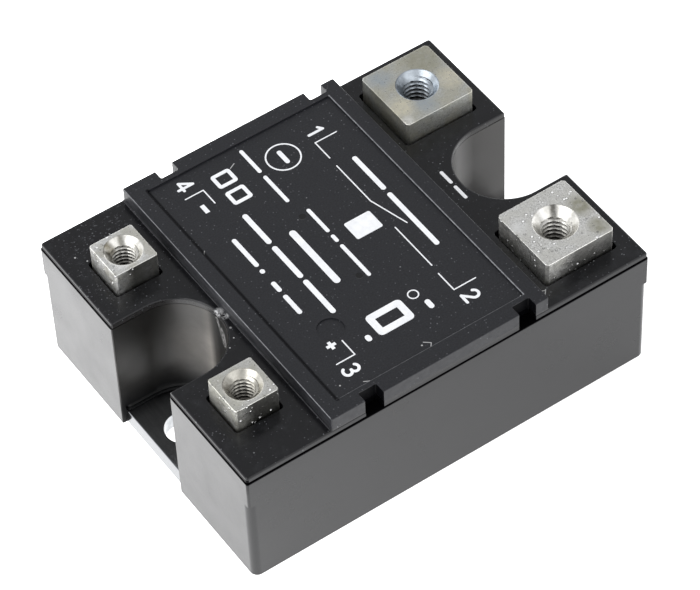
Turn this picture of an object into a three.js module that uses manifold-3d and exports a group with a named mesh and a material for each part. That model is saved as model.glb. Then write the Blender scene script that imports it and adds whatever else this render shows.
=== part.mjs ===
// A panel-mount solid state relay: plastic housing and cover on a metal base plate, with four threaded
// terminal blocks and the power stage and control board inside.
// Millimetres. Origin: middle of the base plate's underside. +X: towards the output terminals. +Z: up.

import * as THREE from 'three';
import { mergeVertices } from 'three/addons/utils/BufferGeometryUtils.js';
import Module from 'manifold-3d';

const wasm = await Module();
wasm.setup();

// ---------------------------------------------------------------------------------------------
// Driving dimensions
// ---------------------------------------------------------------------------------------------

const CASE_LENGTH = 57.2;
const CASE_WIDTH = 44.4;
const CASE_BOTTOM = 0.25;
const CASE_TOP = 17.8;
const WALL = 1.6;
const CORNER_STEP_Z = 13.5; // the vertical corners are round below this height and sharp above it
const LOWER_CORNER_R = 1.0;
const UPPER_CORNER_R = 0.3;

const HOLE_SPACING = 47.6;
const NOTCH_R = 6.25;
const NOTCH_WALL = 1.4;

const PLATE_LENGTH = 55.8;
const PLATE_WIDTH = 43.0;
const PLATE_THICKNESS = 2.4;
const PLATE_HOLE_D = 4.8;
const PLATE_SLOT_LENGTH = 5.6;
const PLATE_CORNER_R = 1.2;
const PLATE_CLEARANCE = 0.15;
const SEAL_THICKNESS = 0.4;
const SEAL_INSET = 0.2;
const SEAL_WIDTH = 0.6;
const SEAL_NOTCH_GAP = 0.3;
const SEAL_NOTCH_WIDTH = 0.8;

const DECK_TOP = 18.75; // flat parts of the cover, at both ends
const BLOCK_TOP = 20.7; // raised centre block of the cover
const FLANGE_GAP = 0.15; // shadow gap between the wall's top and the cover's flange
const FLANGE_INSET = 0.1;
const TAB_GAP = 0.1; // the block's sides between the slots reach closer to the wall's top
const TAB_INSET = 0.05;
const COVER_BOTTOM = 16.8;
const COVER_WALL = 1.5;
const INNER_CORNER_R = 1;
const BLOCK_X = [-16.75, 13.95];
const PANEL_X = [-14.6, 11.85];
const PANEL_HALF_WIDTH = 19.9;
const PANEL_DEPTH = 0.25;
const SLOT_X = 10.85; // the four slots in the block's long edges, either side of its middle
const SLOT_WIDTH = 2.5;
const SLOT_DEPTH = 1.5;
const GATE_MARK = { x: -9.05, y: -10.75, diameter: 3.4, depth: 0.15 };

const OUTPUT_BLOCK = {
  size: 9.85, x: 20.95, y: 14.0, top: 21.85, bottom: 11.1, sink: 5.3, hole: 3.3, depth: 8,
};
const INPUT_BLOCK = {
  size: 5.9, x: -22.45, y: 12.65, top: 22.0, bottom: 12.9, sink: 4.6, hole: 2.8, depth: 7,
};
const WINDOW_GAP = 0.35; // between a terminal block and the cover round it

const CUT_GAP = 0.3; // between a piece and a filling that is cut round it
const LAYER_GAP = 0.1; // between pieces stacked or soldered on each other

const CERAMIC = { x: [-3.0, 14.8], y: 17.6, thickness: 0.65 };
const COPPER_THICKNESS = 0.3;
const COPPER_INSET = 0.8;
const PAD = { x: [-1.6, 14.4], y: [1.0, 17.0] };
const DIE = { x: 5.0, y: 10.5, size: 8.0, thickness: 0.4 };
const CLIP = {
  width: 3.0, thickness: 0.4, x: [3.4, 7.2], dieY: [7.5, 11.0], padY: [2.0, 4.2], rise: 1.7, slope: 1,
};
const LEAD = { width: 6.0, thickness: 0.8, footX: 10.8, riserX: 13.9, endX: 25.2 };

const BOARD = { x: [-19.4, 12.6], y: 19.4, bottom: 9.0, thickness: 1.6, corner: 0.8, notch: 8.2 };
const BOARD_TOP = BOARD.bottom + BOARD.thickness;
const LEG_END = BOARD.bottom - 0.8; // where component legs end under the board
const LEG_D = 0.7;
const LEG_HOLE_D = 1.3;
const GATE_PIN = { x: [7.6, 2.4], y: 12.6, diameter: 0.8 };
const PAD_PIN = { x: 10.6, y: 4.6 };
const PIN_HOLE_D = 1.5;
const PIN_TOP = BOARD_TOP + 0.6;
const INPUT_PIN = { x: -18.0, endX: -25.0, width: 1.6, thickness: 0.8 };

const GEL_TOP = 7.8;
const POTTING_TOP = 14.5;

const ARC_STEPS = 20;
const CORNER_STEPS = 4;
const HOLE_STEPS = 32;
const MARK_STEPS = 24;
const BODY_STEPS = 16;
const PIN_STEPS = 8;
const PAST = 1; // how far a cutter reaches past what it cuts
const MERGE_DISTANCE = 1e-4;

// Worked out from the above
const HALF_L = CASE_LENGTH / 2;
const HALF_W = CASE_WIDTH / 2;
const HOLE_X = HOLE_SPACING / 2;
const SEAL_BOTTOM = PLATE_THICKNESS + LAYER_GAP;
const LEDGE_Z = SEAL_BOTTOM + SEAL_THICKNESS + LAYER_GAP; // the housing's step over the base plate
const COPPER_Z = PLATE_THICKNESS + LAYER_GAP;
const CERAMIC_Z = COPPER_Z + COPPER_THICKNESS + LAYER_GAP / 2;
const PAD_Z = CERAMIC_Z + CERAMIC.thickness + LAYER_GAP / 2;
const PAD_TOP = PAD_Z + COPPER_THICKNESS;
const DIE_Z = PAD_TOP + LAYER_GAP / 2;
const DIE_TOP = DIE_Z + DIE.thickness;
const LEAD_TAB_TOP = OUTPUT_BLOCK.bottom - LAYER_GAP;
const PIN_TAB_TOP = INPUT_BLOCK.bottom - LAYER_GAP;
const OUTPUT_PEDESTAL_TOP = LEAD_TAB_TOP - LEAD.thickness - LAYER_GAP;
const INPUT_PEDESTAL_TOP = PIN_TAB_TOP - INPUT_PIN.thickness - LAYER_GAP;
const OUTPUT_PEDESTAL = { x: [15.3, HALF_L - WALL / 2], y: [NOTCH_R + NOTCH_WALL / 2, HALF_W - WALL / 2] };
const INPUT_PEDESTAL = { x: [-HALF_L + WALL / 2, -20.2], y: OUTPUT_PEDESTAL.y };

// ---------------------------------------------------------------------------------------------
// Materials
// ---------------------------------------------------------------------------------------------

function finish(colour, roughness, metalness) {
  return new THREE.MeshStandardMaterial({ color: colour, roughness, metalness, flatShading: true });
}

const blackPlastic = finish(0x17181b, 0.35, 0);
const plateMetal = finish(0xc9cbcb, 0.4, 1);
const nickel = finish(0xb9b6ab, 0.35, 1);
const tinnedCopper = finish(0xb98a63, 0.35, 1);
const rawCopper = finish(0xb87352, 0.4, 1);
const ceramicWhite = finish(0xe9e7df, 0.6, 0);
const silicon = finish(0x5d626b, 0.25, 0.6);
const boardGreen = finish(0x1f5a3a, 0.5, 0);
const moulding = finish(0x1c1c1e, 0.5, 0);
const capacitorBlue = finish(0x2c5c9c, 0.45, 0);
const resistorBody = finish(0x9fb7c4, 0.5, 0);
const sealBlack = finish(0x202020, 0.7, 0);
const gelClear = finish(0xcfd4d2, 0.2, 0);
const resinBlack = finish(0x131414, 0.45, 0);

// ---------------------------------------------------------------------------------------------
// Geometry helpers
// ---------------------------------------------------------------------------------------------

// A closed three.js geometry as a solid that can be joined and cut
function solid(geometry) {
  const bare = geometry.clone();
  bare.deleteAttribute('normal');
  bare.deleteAttribute('uv');
  const merged = mergeVertices(bare, MERGE_DISTANCE);
  return new wasm.Manifold(new wasm.Mesh({
    numProp: 3,
    vertProperties: new Float32Array(merged.attributes.position.array),
    triVerts: new Uint32Array(merged.index.array),
  }));
}

// A solid back as a geometry
function surface(body) {
  const result = body.getMesh();
  const geometry = new THREE.BufferGeometry();
  geometry.setAttribute('position', new THREE.BufferAttribute(result.vertProperties, 3));
  geometry.setIndex(new THREE.BufferAttribute(result.triVerts, 1));
  geometry.computeVertexNormals();
  return geometry;
}

function cutAll(body, cutters) {
  return cutters.reduce((left, cutter) => left.subtract(cutter), body);
}

function joinAll(bodies) {
  return bodies.reduce((sum, body) => sum.add(body));
}

function box([x0, x1], [y0, y1], [z0, z1]) {
  const geometry = new THREE.BoxGeometry(x1 - x0, y1 - y0, z1 - z0);
  geometry.translate((x0 + x1) / 2, (y0 + y1) / 2, (z0 + z1) / 2);
  return solid(geometry);
}

function centredBox(x, y, sizeX, sizeY, zRange) {
  return box([x - sizeX / 2, x + sizeX / 2], [y - sizeY / 2, y + sizeY / 2], zRange);
}

function cylinder(x, y, diameter, [z0, z1], steps = HOLE_STEPS, bottomDiameter = diameter) {
  const geometry = new THREE.CylinderGeometry(diameter / 2, bottomDiameter / 2, z1 - z0, steps);
  geometry.rotateX(Math.PI / 2);
  geometry.translate(x, y, (z0 + z1) / 2);
  return solid(geometry);
}

function prism(shape, [z0, z1]) {
  const geometry = new THREE.ExtrudeGeometry(shape, { depth: z1 - z0, bevelEnabled: false });
  geometry.translate(0, 0, z0);
  return solid(geometry);
}

// The same range on the +Y side, or mirrored to the -Y side
function mirroredRange([low, high], side) {
  return side > 0 ? [low, high] : [-high, -low];
}

function arcPoints(cx, cy, radius, from, to, steps) {
  return Array.from({ length: steps + 1 }, (_, i) => {
    const angle = from + ((to - from) * i) / steps;
    return new THREE.Vector2(cx + radius * Math.cos(angle), cy + radius * Math.sin(angle));
  });
}

// A rectangle with round corners
function roundedRect([x0, x1], halfWidth, cornerR) {
  const quarter = Math.PI / 2;
  const corners = [
    [x1 - cornerR, halfWidth - cornerR],
    [x0 + cornerR, halfWidth - cornerR],
    [x0 + cornerR, -halfWidth + cornerR],
    [x1 - cornerR, -halfWidth + cornerR],
  ];
  const points = corners.flatMap(([x, y], i) => (
    arcPoints(x, y, cornerR, i * quarter, (i + 1) * quarter, CORNER_STEPS)
  ));
  return new THREE.Shape(points);
}

// A U notch that opens through the end at the given side, -1 or 1
function notch(side, radius, zRange) {
  const centre = side * HOLE_X;
  const beyond = side * (HALF_L + PAST);
  const innermost = side > 0 ? Math.PI : 0;
  const points = arcPoints(centre, 0, radius, innermost - Math.PI / 2, innermost + Math.PI / 2, ARC_STEPS);
  points.push(new THREE.Vector2(beyond, -side * radius));
  points.push(new THREE.Vector2(beyond, side * radius));
  return prism(new THREE.Shape(points), zRange);
}

// A plan outline with both end notches, as a solid
function notchedPrism(halfLength, halfWidth, notchR, cornerR, zRange) {
  const body = prism(roundedRect([-halfLength, halfLength], halfWidth, cornerR), zRange);
  return cutAll(body, [notch(-1, notchR, zRange), notch(1, notchR, zRange)]);
}

// A flat strip bent along a line of [a, z] points, standing in the plane across its width
function bentStrip(line, thickness, width) {
  const points = line.map(([a, z]) => new THREE.Vector2(a, z));
  const offset = (side) => points.map((point, i) => {
    const before = points[Math.max(i - 1, 0)];
    const after = points[Math.min(i + 1, points.length - 1)];
    const inDir = (i > 0 ? point.clone().sub(before) : after.clone().sub(point)).normalize();
    const outDir = (i < points.length - 1 ? after.clone().sub(point) : inDir.clone()).normalize();
    const inNormal = new THREE.Vector2(-inDir.y, inDir.x);
    const outNormal = new THREE.Vector2(-outDir.y, outDir.x);
    const mitre = inNormal.clone().add(outNormal).normalize();
    const reach = (side * thickness) / 2 / mitre.dot(inNormal);
    return point.clone().addScaledVector(mitre, reach);
  });
  const outline = new THREE.Shape([...offset(1), ...offset(-1).reverse()]);
  const geometry = new THREE.ExtrudeGeometry(outline, { depth: width, bevelEnabled: false });
  geometry.translate(0, 0, -width / 2);
  geometry.rotateX(Math.PI / 2); // the outline's second axis becomes Z and its depth becomes Y
  return geometry;
}

// ---------------------------------------------------------------------------------------------
// Outer pieces
// ---------------------------------------------------------------------------------------------

function makeBasePlate() {
  const zRange = [0, PLATE_THICKNESS];
  const through = [-PAST, PLATE_THICKNESS + PAST];
  const outline = roundedRect([-PLATE_LENGTH / 2, PLATE_LENGTH / 2], PLATE_WIDTH / 2, PLATE_CORNER_R);
  const plate = prism(outline, zRange);
  const reach = (PLATE_SLOT_LENGTH - PLATE_HOLE_D) / 2;
  const roundHole = cylinder(-HOLE_X, 0, PLATE_HOLE_D, through);
  const longHole = joinAll([
    cylinder(HOLE_X - reach, 0, PLATE_HOLE_D, through),
    cylinder(HOLE_X + reach, 0, PLATE_HOLE_D, through),
    centredBox(HOLE_X, 0, 2 * reach, PLATE_HOLE_D, through),
  ]);
  return cutAll(plate, [roundHole, longHole]);
}

function pedestals(pedestal, top) {
  return [-1, 1].map((side) => box(pedestal.x, mirroredRange(pedestal.y, side), [LEDGE_Z, top]));
}

function makeHousing() {
  const outer = joinAll([
    notchedPrism(HALF_L, HALF_W, NOTCH_R, LOWER_CORNER_R, [CASE_BOTTOM, CORNER_STEP_Z]),
    notchedPrism(HALF_L, HALF_W, NOTCH_R, UPPER_CORNER_R, [CORNER_STEP_Z, CASE_TOP]),
  ]);
  const cavity = notchedPrism(
    HALF_L - WALL, HALF_W - WALL, NOTCH_R + NOTCH_WALL, INNER_CORNER_R, [-PAST, CASE_TOP + PAST]);
  const plateSeat = prism(
    roundedRect(
      [-PLATE_LENGTH / 2 - PLATE_CLEARANCE, PLATE_LENGTH / 2 + PLATE_CLEARANCE],
      PLATE_WIDTH / 2 + PLATE_CLEARANCE,
      PLATE_CORNER_R,
    ),
    [-PAST, LEDGE_Z],
  );
  const shell = cutAll(outer, [cavity, plateSeat]);
  return joinAll([
    shell,
    ...pedestals(OUTPUT_PEDESTAL, OUTPUT_PEDESTAL_TOP),
    ...pedestals(INPUT_PEDESTAL, INPUT_PEDESTAL_TOP),
  ]);
}

function makeBaseSeal() {
  const zRange = [SEAL_BOTTOM, SEAL_BOTTOM + SEAL_THICKNESS];
  const loop = (inset, notchGap) => notchedPrism(
    PLATE_LENGTH / 2 - inset, PLATE_WIDTH / 2 - inset, NOTCH_R + notchGap, INNER_CORNER_R, zRange);
  const inside = loop(SEAL_INSET + SEAL_WIDTH, SEAL_NOTCH_GAP + SEAL_NOTCH_WIDTH);
  return loop(SEAL_INSET, SEAL_NOTCH_GAP).subtract(inside);
}

function terminalWindow(block, side) {
  const size = block.size + 2 * WINDOW_GAP;
  return centredBox(block.x, side * block.y, size, size, [COVER_BOTTOM - PAST, DECK_TOP + PAST]);
}

function makeCover() {
  const flangeBottom = CASE_TOP + FLANGE_GAP;
  const halfL = HALF_L - FLANGE_INSET;
  const halfW = HALF_W - FLANGE_INSET;
  const fit = WALL + CUT_GAP;
  const flange = notchedPrism(halfL, halfW, NOTCH_R, UPPER_CORNER_R, [flangeBottom, DECK_TOP]);
  const plug = notchedPrism(
    HALF_L - fit, HALF_W - fit, NOTCH_R + NOTCH_WALL + CUT_GAP, INNER_CORNER_R, [COVER_BOTTOM, DECK_TOP]);
  const block = box(BLOCK_X, [-halfW, halfW], [flangeBottom, BLOCK_TOP]);
  const tabX = SLOT_X - SLOT_WIDTH / 2;
  const tabY = HALF_W - TAB_INSET;
  const tabs = box([-tabX, tabX], [-tabY, tabY], [CASE_TOP + TAB_GAP, BLOCK_TOP]);
  const panelZ = [BLOCK_TOP - PANEL_DEPTH, BLOCK_TOP + PAST];
  const panel = box(PANEL_X, [-PANEL_HALF_WIDTH, PANEL_HALF_WIDTH], panelZ);
  const slotY = halfW - SLOT_DEPTH;
  const hollow = box(
    [BLOCK_X[0] + COVER_WALL, BLOCK_X[1] - COVER_WALL],
    [-slotY + COVER_WALL, slotY - COVER_WALL],
    [COVER_BOTTOM - PAST, BLOCK_TOP - COVER_WALL],
  );
  const mark = cylinder(
    GATE_MARK.x, GATE_MARK.y, GATE_MARK.diameter,
    [BLOCK_TOP - PANEL_DEPTH - GATE_MARK.depth, BLOCK_TOP], MARK_STEPS);
  const upward = [CASE_TOP, BLOCK_TOP + PAST];
  const cutters = [panel, hollow, mark];
  for (const side of [-1, 1]) {
    const slotRange = mirroredRange([slotY, HALF_W + PAST], side);
    for (const x of [-SLOT_X, SLOT_X]) {
      cutters.push(box([x - SLOT_WIDTH / 2, x + SLOT_WIDTH / 2], slotRange, upward));
    }
    cutters.push(terminalWindow(OUTPUT_BLOCK, side));
    cutters.push(terminalWindow(INPUT_BLOCK, side));
  }
  return cutAll(joinAll([flange, plug, block, tabs]), cutters);
}

function makeTerminal(block, side) {
  const y = side * block.y;
  const sinkDepth = (block.sink - block.hole) / 2; // a 90 degree countersink
  const body = centredBox(block.x, y, block.size, block.size, [block.bottom, block.top]);
  const hole = cylinder(block.x, y, block.hole, [block.top - block.depth, block.top + PAST]);
  const lip = PAST; // carries the cone past the top face
  const sink = cylinder(
    block.x, y, block.sink + 2 * lip, [block.top - sinkDepth, block.top + lip], HOLE_STEPS, block.hole);
  return cutAll(body, [hole, sink]);
}

// ---------------------------------------------------------------------------------------------
// Power stage
// ---------------------------------------------------------------------------------------------

function makeBackCopper() {
  return box(
    [CERAMIC.x[0] + COPPER_INSET, CERAMIC.x[1] - COPPER_INSET],
    [-CERAMIC.y + COPPER_INSET, CERAMIC.y - COPPER_INSET],
    [COPPER_Z, COPPER_Z + COPPER_THICKNESS],
  );
}

function makeCeramic() {
  return box(CERAMIC.x, [-CERAMIC.y, CERAMIC.y], [CERAMIC_Z, CERAMIC_Z + CERAMIC.thickness]);
}

function makePad(side) {
  return box(PAD.x, mirroredRange(PAD.y, side), [PAD_Z, PAD_TOP]);
}

function makeDie(side) {
  return centredBox(DIE.x, side * DIE.y, DIE.size, DIE.size, [DIE_Z, DIE_TOP]);
}

// From the top of the die on this side to the track on the other side
function makeClip(side, grow = 0) {
  const [index, sign] = side > 0 ? [0, 1] : [1, -1];
  const dieFoot = DIE_TOP + LAYER_GAP / 2 + CLIP.thickness / 2;
  const padFoot = PAD_TOP + LAYER_GAP / 2 + CLIP.thickness / 2;
  const bridge = DIE_TOP + CLIP.rise;
  const line = [
    [CLIP.dieY[1] + grow, dieFoot],
    [CLIP.dieY[0], dieFoot],
    [CLIP.dieY[0] - CLIP.slope, bridge],
    [-CLIP.padY[0] + CLIP.slope, bridge],
    [-CLIP.padY[0], padFoot],
    [-CLIP.padY[1] - grow, padFoot],
  ].map(([y, z]) => [sign * y, z]);
  const ordered = sign > 0 ? line : line.reverse();
  const geometry = bentStrip(ordered, CLIP.thickness + 2 * grow, CLIP.width + 2 * grow);
  geometry.rotateZ(Math.PI / 2);
  geometry.translate(CLIP.x[index], 0, 0);
  return solid(geometry);
}

function makeLead(side, grow = 0) {
  const footZ = PAD_TOP + LAYER_GAP / 2 + LEAD.thickness / 2;
  const tabZ = LEAD_TAB_TOP - LEAD.thickness / 2;
  const line = [
    [LEAD.footX - grow, footZ],
    [LEAD.riserX, footZ],
    [LEAD.riserX, tabZ],
    [LEAD.endX + grow, tabZ],
  ];
  const geometry = bentStrip(line, LEAD.thickness + 2 * grow, LEAD.width + 2 * grow);
  geometry.translate(0, side * OUTPUT_BLOCK.y, 0);
  return solid(geometry);
}

function makeGatePin(side, grow = 0) {
  const x = GATE_PIN.x[side > 0 ? 0 : 1];
  const zRange = [DIE_TOP + LAYER_GAP - grow, PIN_TOP + grow];
  return cylinder(x, side * GATE_PIN.y, GATE_PIN.diameter + 2 * grow, zRange, PIN_STEPS);
}

function makePadPin(side, grow = 0) {
  const zRange = [PAD_TOP + LAYER_GAP - grow, PIN_TOP + grow];
  return cylinder(PAD_PIN.x, side * PAD_PIN.y, GATE_PIN.diameter + 2 * grow, zRange, PIN_STEPS);
}

// ---------------------------------------------------------------------------------------------
// Control board and its components
// ---------------------------------------------------------------------------------------------

function leg(x, y, top) {
  return cylinder(x, y, LEG_D, [LEG_END, top], PIN_STEPS);
}

// A component with a round body lying on the board between two bent legs
function axialPart({ x, y, along, bodyLength, bodyD, pitch, waist = 0 }) {
  const radius = bodyD / 2;
  const end = bodyLength / 2;
  const { tip, cap, shoulder, barrel } = AXIAL_PROFILE;
  const half = [
    [radius - waist, end * barrel],
    [radius, end * shoulder],
    [radius, end * cap],
    [radius * tip, end],
    [0, end],
  ];
  const mirrored = half.map(([r, h]) => [r, -h]).reverse();
  const profile = [...mirrored, ...half].map(([r, h]) => new THREE.Vector2(r, h));
  const turned = new THREE.LatheGeometry(profile, BODY_STEPS);
  const axisZ = BOARD_TOP + LAYER_GAP + radius;
  const wire = new THREE.CylinderGeometry(LEG_D / 2, LEG_D / 2, pitch, PIN_STEPS);
  for (const geometry of [turned, wire]) {
    if (along === 'x') geometry.rotateZ(Math.PI / 2);
    geometry.translate(x, y, axisZ);
  }
  const ends = [-pitch / 2, pitch / 2].map((offset) => (
    along === 'x' ? leg(x + offset, y, axisZ + LEG_D / 2) : leg(x, y + offset, axisZ + LEG_D / 2)
  ));
  return joinAll([solid(turned), solid(wire), ...ends]);
}

// Shares of the end cap's radius and of half the body's length
const AXIAL_PROFILE = { tip: 0.8, cap: 0.9, shoulder: 0.6, barrel: 0.5 };

const AXIAL_PARTS = {
  snubber_resistor: { x: 8.5, y: 0, along: 'y', bodyLength: 9.5, bodyD: 3.2, pitch: 14, waist: 0.25 },
  input_resistor: { x: -12.8, y: 12.6, along: 'y', bodyLength: 6.3, bodyD: 2.4, pitch: 10.2, waist: 0.2 },
  input_diode: { x: -12.8, y: -12.6, along: 'y', bodyLength: 5.2, bodyD: 2.7, pitch: 10.2 },
  gate_resistor_1: { x: 0, y: 15.8, along: 'x', bodyLength: 5, bodyD: 2, pitch: 8.4, waist: 0.15 },
  gate_resistor_2: { x: 0, y: -15.8, along: 'x', bodyLength: 5, bodyD: 2, pitch: 8.4, waist: 0.15 },
};

const CAPACITOR = { x: 3.9, y: 0, sizeX: 5, sizeY: 12.5, height: 7.8, pitch: 10 };
const LEG_OVERLAP = 1; // how far a leg reaches into the body it carries
const OPTOCOUPLER = {
  x: -5.6, y: 0, sizeX: 6.4, sizeY: 8.6, height: 3.4, standoff: 0.4, row: 3.81, pitch: 2.54,
  legThickness: 0.3, legWidth: 0.5, shoulderHeight: 1.53,
  dimple: { x: -1.92, y: 3.1, diameter: 0.9, depth: 0.15 },
};
const TRANSISTOR = { x: -8.2, y: 10.0, diameter: 4.6, flat: 1.3, bottom: 12.4, top: 16.9, pitch: 1.27 };

function legPositions() {
  const axialEnds = Object.values(AXIAL_PARTS).flatMap(({ x, y, along, pitch }) => (
    [-pitch / 2, pitch / 2].map((offset) => (along === 'x' ? [x + offset, y] : [x, y + offset]))
  ));
  const capacitorLegs = [-1, 1].map((side) => [CAPACITOR.x, CAPACITOR.y + (side * CAPACITOR.pitch) / 2]);
  return [...axialEnds, ...capacitorLegs, ...optocouplerLegs(), ...transistorLegs()];
}

function optocouplerLegs() {
  const { x, y, row, pitch } = OPTOCOUPLER;
  return [-row, row].flatMap((dx) => [-pitch, 0, pitch].map((dy) => [x + dx, y + dy]));
}

function transistorLegs() {
  const { x, y, pitch } = TRANSISTOR;
  return [-pitch, 0, pitch].map((dy) => [x, y + dy]);
}

function makeBoard() {
  const zRange = [BOARD.bottom, BOARD_TOP];
  const through = [BOARD.bottom - PAST, BOARD_TOP + PAST];
  const blank = prism(roundedRect(BOARD.x, BOARD.y, BOARD.corner), zRange);
  const pinSlot = [INPUT_PIN.thickness + 2 * CUT_GAP, INPUT_PIN.width + 2 * CUT_GAP];
  const cutters = [
    notch(-1, BOARD.notch, through),
    ...legPositions().map(([x, y]) => cylinder(x, y, LEG_HOLE_D, through, PIN_STEPS)),
  ];
  for (const side of [-1, 1]) {
    const gateX = GATE_PIN.x[side > 0 ? 0 : 1];
    cutters.push(cylinder(gateX, side * GATE_PIN.y, PIN_HOLE_D, through, PIN_STEPS));
    cutters.push(cylinder(PAD_PIN.x, side * PAD_PIN.y, PIN_HOLE_D, through, PIN_STEPS));
    cutters.push(centredBox(INPUT_PIN.x, side * INPUT_BLOCK.y, ...pinSlot, through));
  }
  return cutAll(blank, cutters);
}

function makeInputPin(side, grow = 0) {
  const tabZ = PIN_TAB_TOP - INPUT_PIN.thickness / 2;
  const line = [[INPUT_PIN.endX - grow, tabZ], [INPUT_PIN.x, tabZ], [INPUT_PIN.x, LEG_END]];
  const geometry = bentStrip(line, INPUT_PIN.thickness + 2 * grow, INPUT_PIN.width + 2 * grow);
  geometry.translate(0, side * INPUT_BLOCK.y, 0);
  return solid(geometry);
}

function makeCapacitor() {
  const { x, y, sizeX, sizeY, height, pitch } = CAPACITOR;
  const bottom = BOARD_TOP + LAYER_GAP;
  const body = centredBox(x, y, sizeX, sizeY, [bottom, bottom + height]);
  const legs = [-1, 1].map((side) => leg(x, y + (side * pitch) / 2, bottom + LEG_OVERLAP));
  return joinAll([body, ...legs]);
}

function makeOptocoupler() {
  const { x, y, sizeX, sizeY, height, standoff, row, pitch, legThickness, legWidth, dimple } = OPTOCOUPLER;
  const bottom = BOARD_TOP + standoff;
  const top = bottom + height;
  const shoulder = bottom + OPTOCOUPLER.shoulderHeight;
  const shoulderZ = [shoulder, shoulder + legThickness];
  const body = centredBox(x, y, sizeX, sizeY, [bottom, top]);
  const dimpleZ = [top - dimple.depth, top + PAST];
  const pinOne = cylinder(x + dimple.x, y + dimple.y, dimple.diameter, dimpleZ, PIN_STEPS);
  const parts = [body.subtract(pinOne)];
  for (const dy of [-pitch, 0, pitch]) {
    parts.push(centredBox(x, y + dy, 2 * row + legThickness, legWidth * 2, shoulderZ));
    for (const dx of [-row, row]) {
      parts.push(centredBox(x + dx, y + dy, legThickness, legWidth, [LEG_END, shoulderZ[1]]));
    }
  }
  return joinAll(parts);
}

function makeTransistor() {
  const { x, y, diameter, flat, bottom, top } = TRANSISTOR;
  const can = cylinder(x, y, diameter, [bottom, top], BODY_STEPS);
  const face = box([x + flat, x + diameter], [y - diameter, y + diameter], [bottom - PAST, top + PAST]);
  const legs = transistorLegs().map(([legX, legY]) => leg(legX, legY, bottom + LEG_OVERLAP));
  return joinAll([can.subtract(face), ...legs]);
}

// ---------------------------------------------------------------------------------------------
// Fillings
// ---------------------------------------------------------------------------------------------

function fillingOutline(zRange) {
  const fit = WALL + CUT_GAP;
  return notchedPrism(HALF_L - fit, HALF_W - fit, NOTCH_R + NOTCH_WALL + CUT_GAP, INNER_CORNER_R, zRange);
}

function pedestalPockets(pedestal, zRange) {
  const x = [pedestal.x[0] - CUT_GAP, pedestal.x[1] + CUT_GAP];
  const y = [pedestal.y[0] - CUT_GAP, pedestal.y[1] + CUT_GAP];
  return [-1, 1].map((side) => box(x, mirroredRange(y, side), zRange));
}

function makeGel() {
  const zRange = [LEDGE_Z, GEL_TOP];
  const through = [LEDGE_Z - PAST, GEL_TOP + PAST];
  const ceramicPocket = box(
    [CERAMIC.x[0] - CUT_GAP, CERAMIC.x[1] + CUT_GAP],
    [-CERAMIC.y - CUT_GAP, CERAMIC.y + CUT_GAP],
    [LEDGE_Z - PAST, PAD_TOP + CUT_GAP],
  );
  const cutters = [
    ceramicPocket,
    ...pedestalPockets(OUTPUT_PEDESTAL, through),
    ...pedestalPockets(INPUT_PEDESTAL, through),
  ];
  for (const side of [-1, 1]) {
    const dieSize = DIE.size + 2 * CUT_GAP;
    cutters.push(centredBox(DIE.x, side * DIE.y, dieSize, dieSize, [DIE_Z, DIE_TOP + CUT_GAP]));
    cutters.push(makeClip(side, CUT_GAP));
    cutters.push(makeLead(side, CUT_GAP));
    cutters.push(makeGatePin(side, CUT_GAP));
    cutters.push(makePadPin(side, CUT_GAP));
  }
  return cutAll(fillingOutline(zRange), cutters);
}

function makePotting() {
  const bottom = BOARD_TOP + CUT_GAP;
  const below = bottom - PAST;
  const above = POTTING_TOP + PAST;
  const pocket = (x, y, sizeX, sizeY, top) => (
    centredBox(x, y, sizeX + 2 * CUT_GAP, sizeY + 2 * CUT_GAP, [below, top + CUT_GAP])
  );
  const cutters = [
    pocket(CAPACITOR.x, CAPACITOR.y, CAPACITOR.sizeX, CAPACITOR.sizeY, above),
    pocket(OPTOCOUPLER.x, OPTOCOUPLER.y, 2 * OPTOCOUPLER.row + OPTOCOUPLER.legThickness, OPTOCOUPLER.sizeY,
      BOARD_TOP + OPTOCOUPLER.standoff + OPTOCOUPLER.height),
    pocket(TRANSISTOR.x, TRANSISTOR.y, TRANSISTOR.diameter, TRANSISTOR.diameter, above),
    ...pedestalPockets(INPUT_PEDESTAL, [below, INPUT_PEDESTAL_TOP + CUT_GAP]),
  ];
  for (const { x, y, along, bodyD, pitch } of Object.values(AXIAL_PARTS)) {
    const length = pitch + LEG_D;
    const top = BOARD_TOP + LAYER_GAP + bodyD;
    const size = along === 'x' ? [length, bodyD] : [bodyD, length];
    cutters.push(pocket(x, y, ...size, top));
  }
  for (const side of [-1, 1]) {
    for (const block of [OUTPUT_BLOCK, INPUT_BLOCK]) {
      const size = block.size + 2 * CUT_GAP;
      cutters.push(centredBox(block.x, side * block.y, size, size, [block.bottom - CUT_GAP, above]));
    }
    cutters.push(makeLead(side, CUT_GAP));
    cutters.push(makeInputPin(side, CUT_GAP));
    cutters.push(makeGatePin(side, CUT_GAP));
    cutters.push(makePadPin(side, CUT_GAP));
  }
  return cutAll(fillingOutline([bottom, POTTING_TOP]), cutters);
}

// ---------------------------------------------------------------------------------------------
// Assembly
// ---------------------------------------------------------------------------------------------

const relay = new THREE.Group();

function place(name, body, material) {
  const mesh = new THREE.Mesh(surface(body), material);
  mesh.name = name;
  relay.add(mesh);
}

place('base_plate', makeBasePlate(), plateMetal);
place('base_seal', makeBaseSeal(), sealBlack);
place('housing', makeHousing(), blackPlastic);
place('cover', makeCover(), blackPlastic);
place('substrate_back_copper', makeBackCopper(), rawCopper);
place('ceramic_substrate', makeCeramic(), ceramicWhite);

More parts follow.
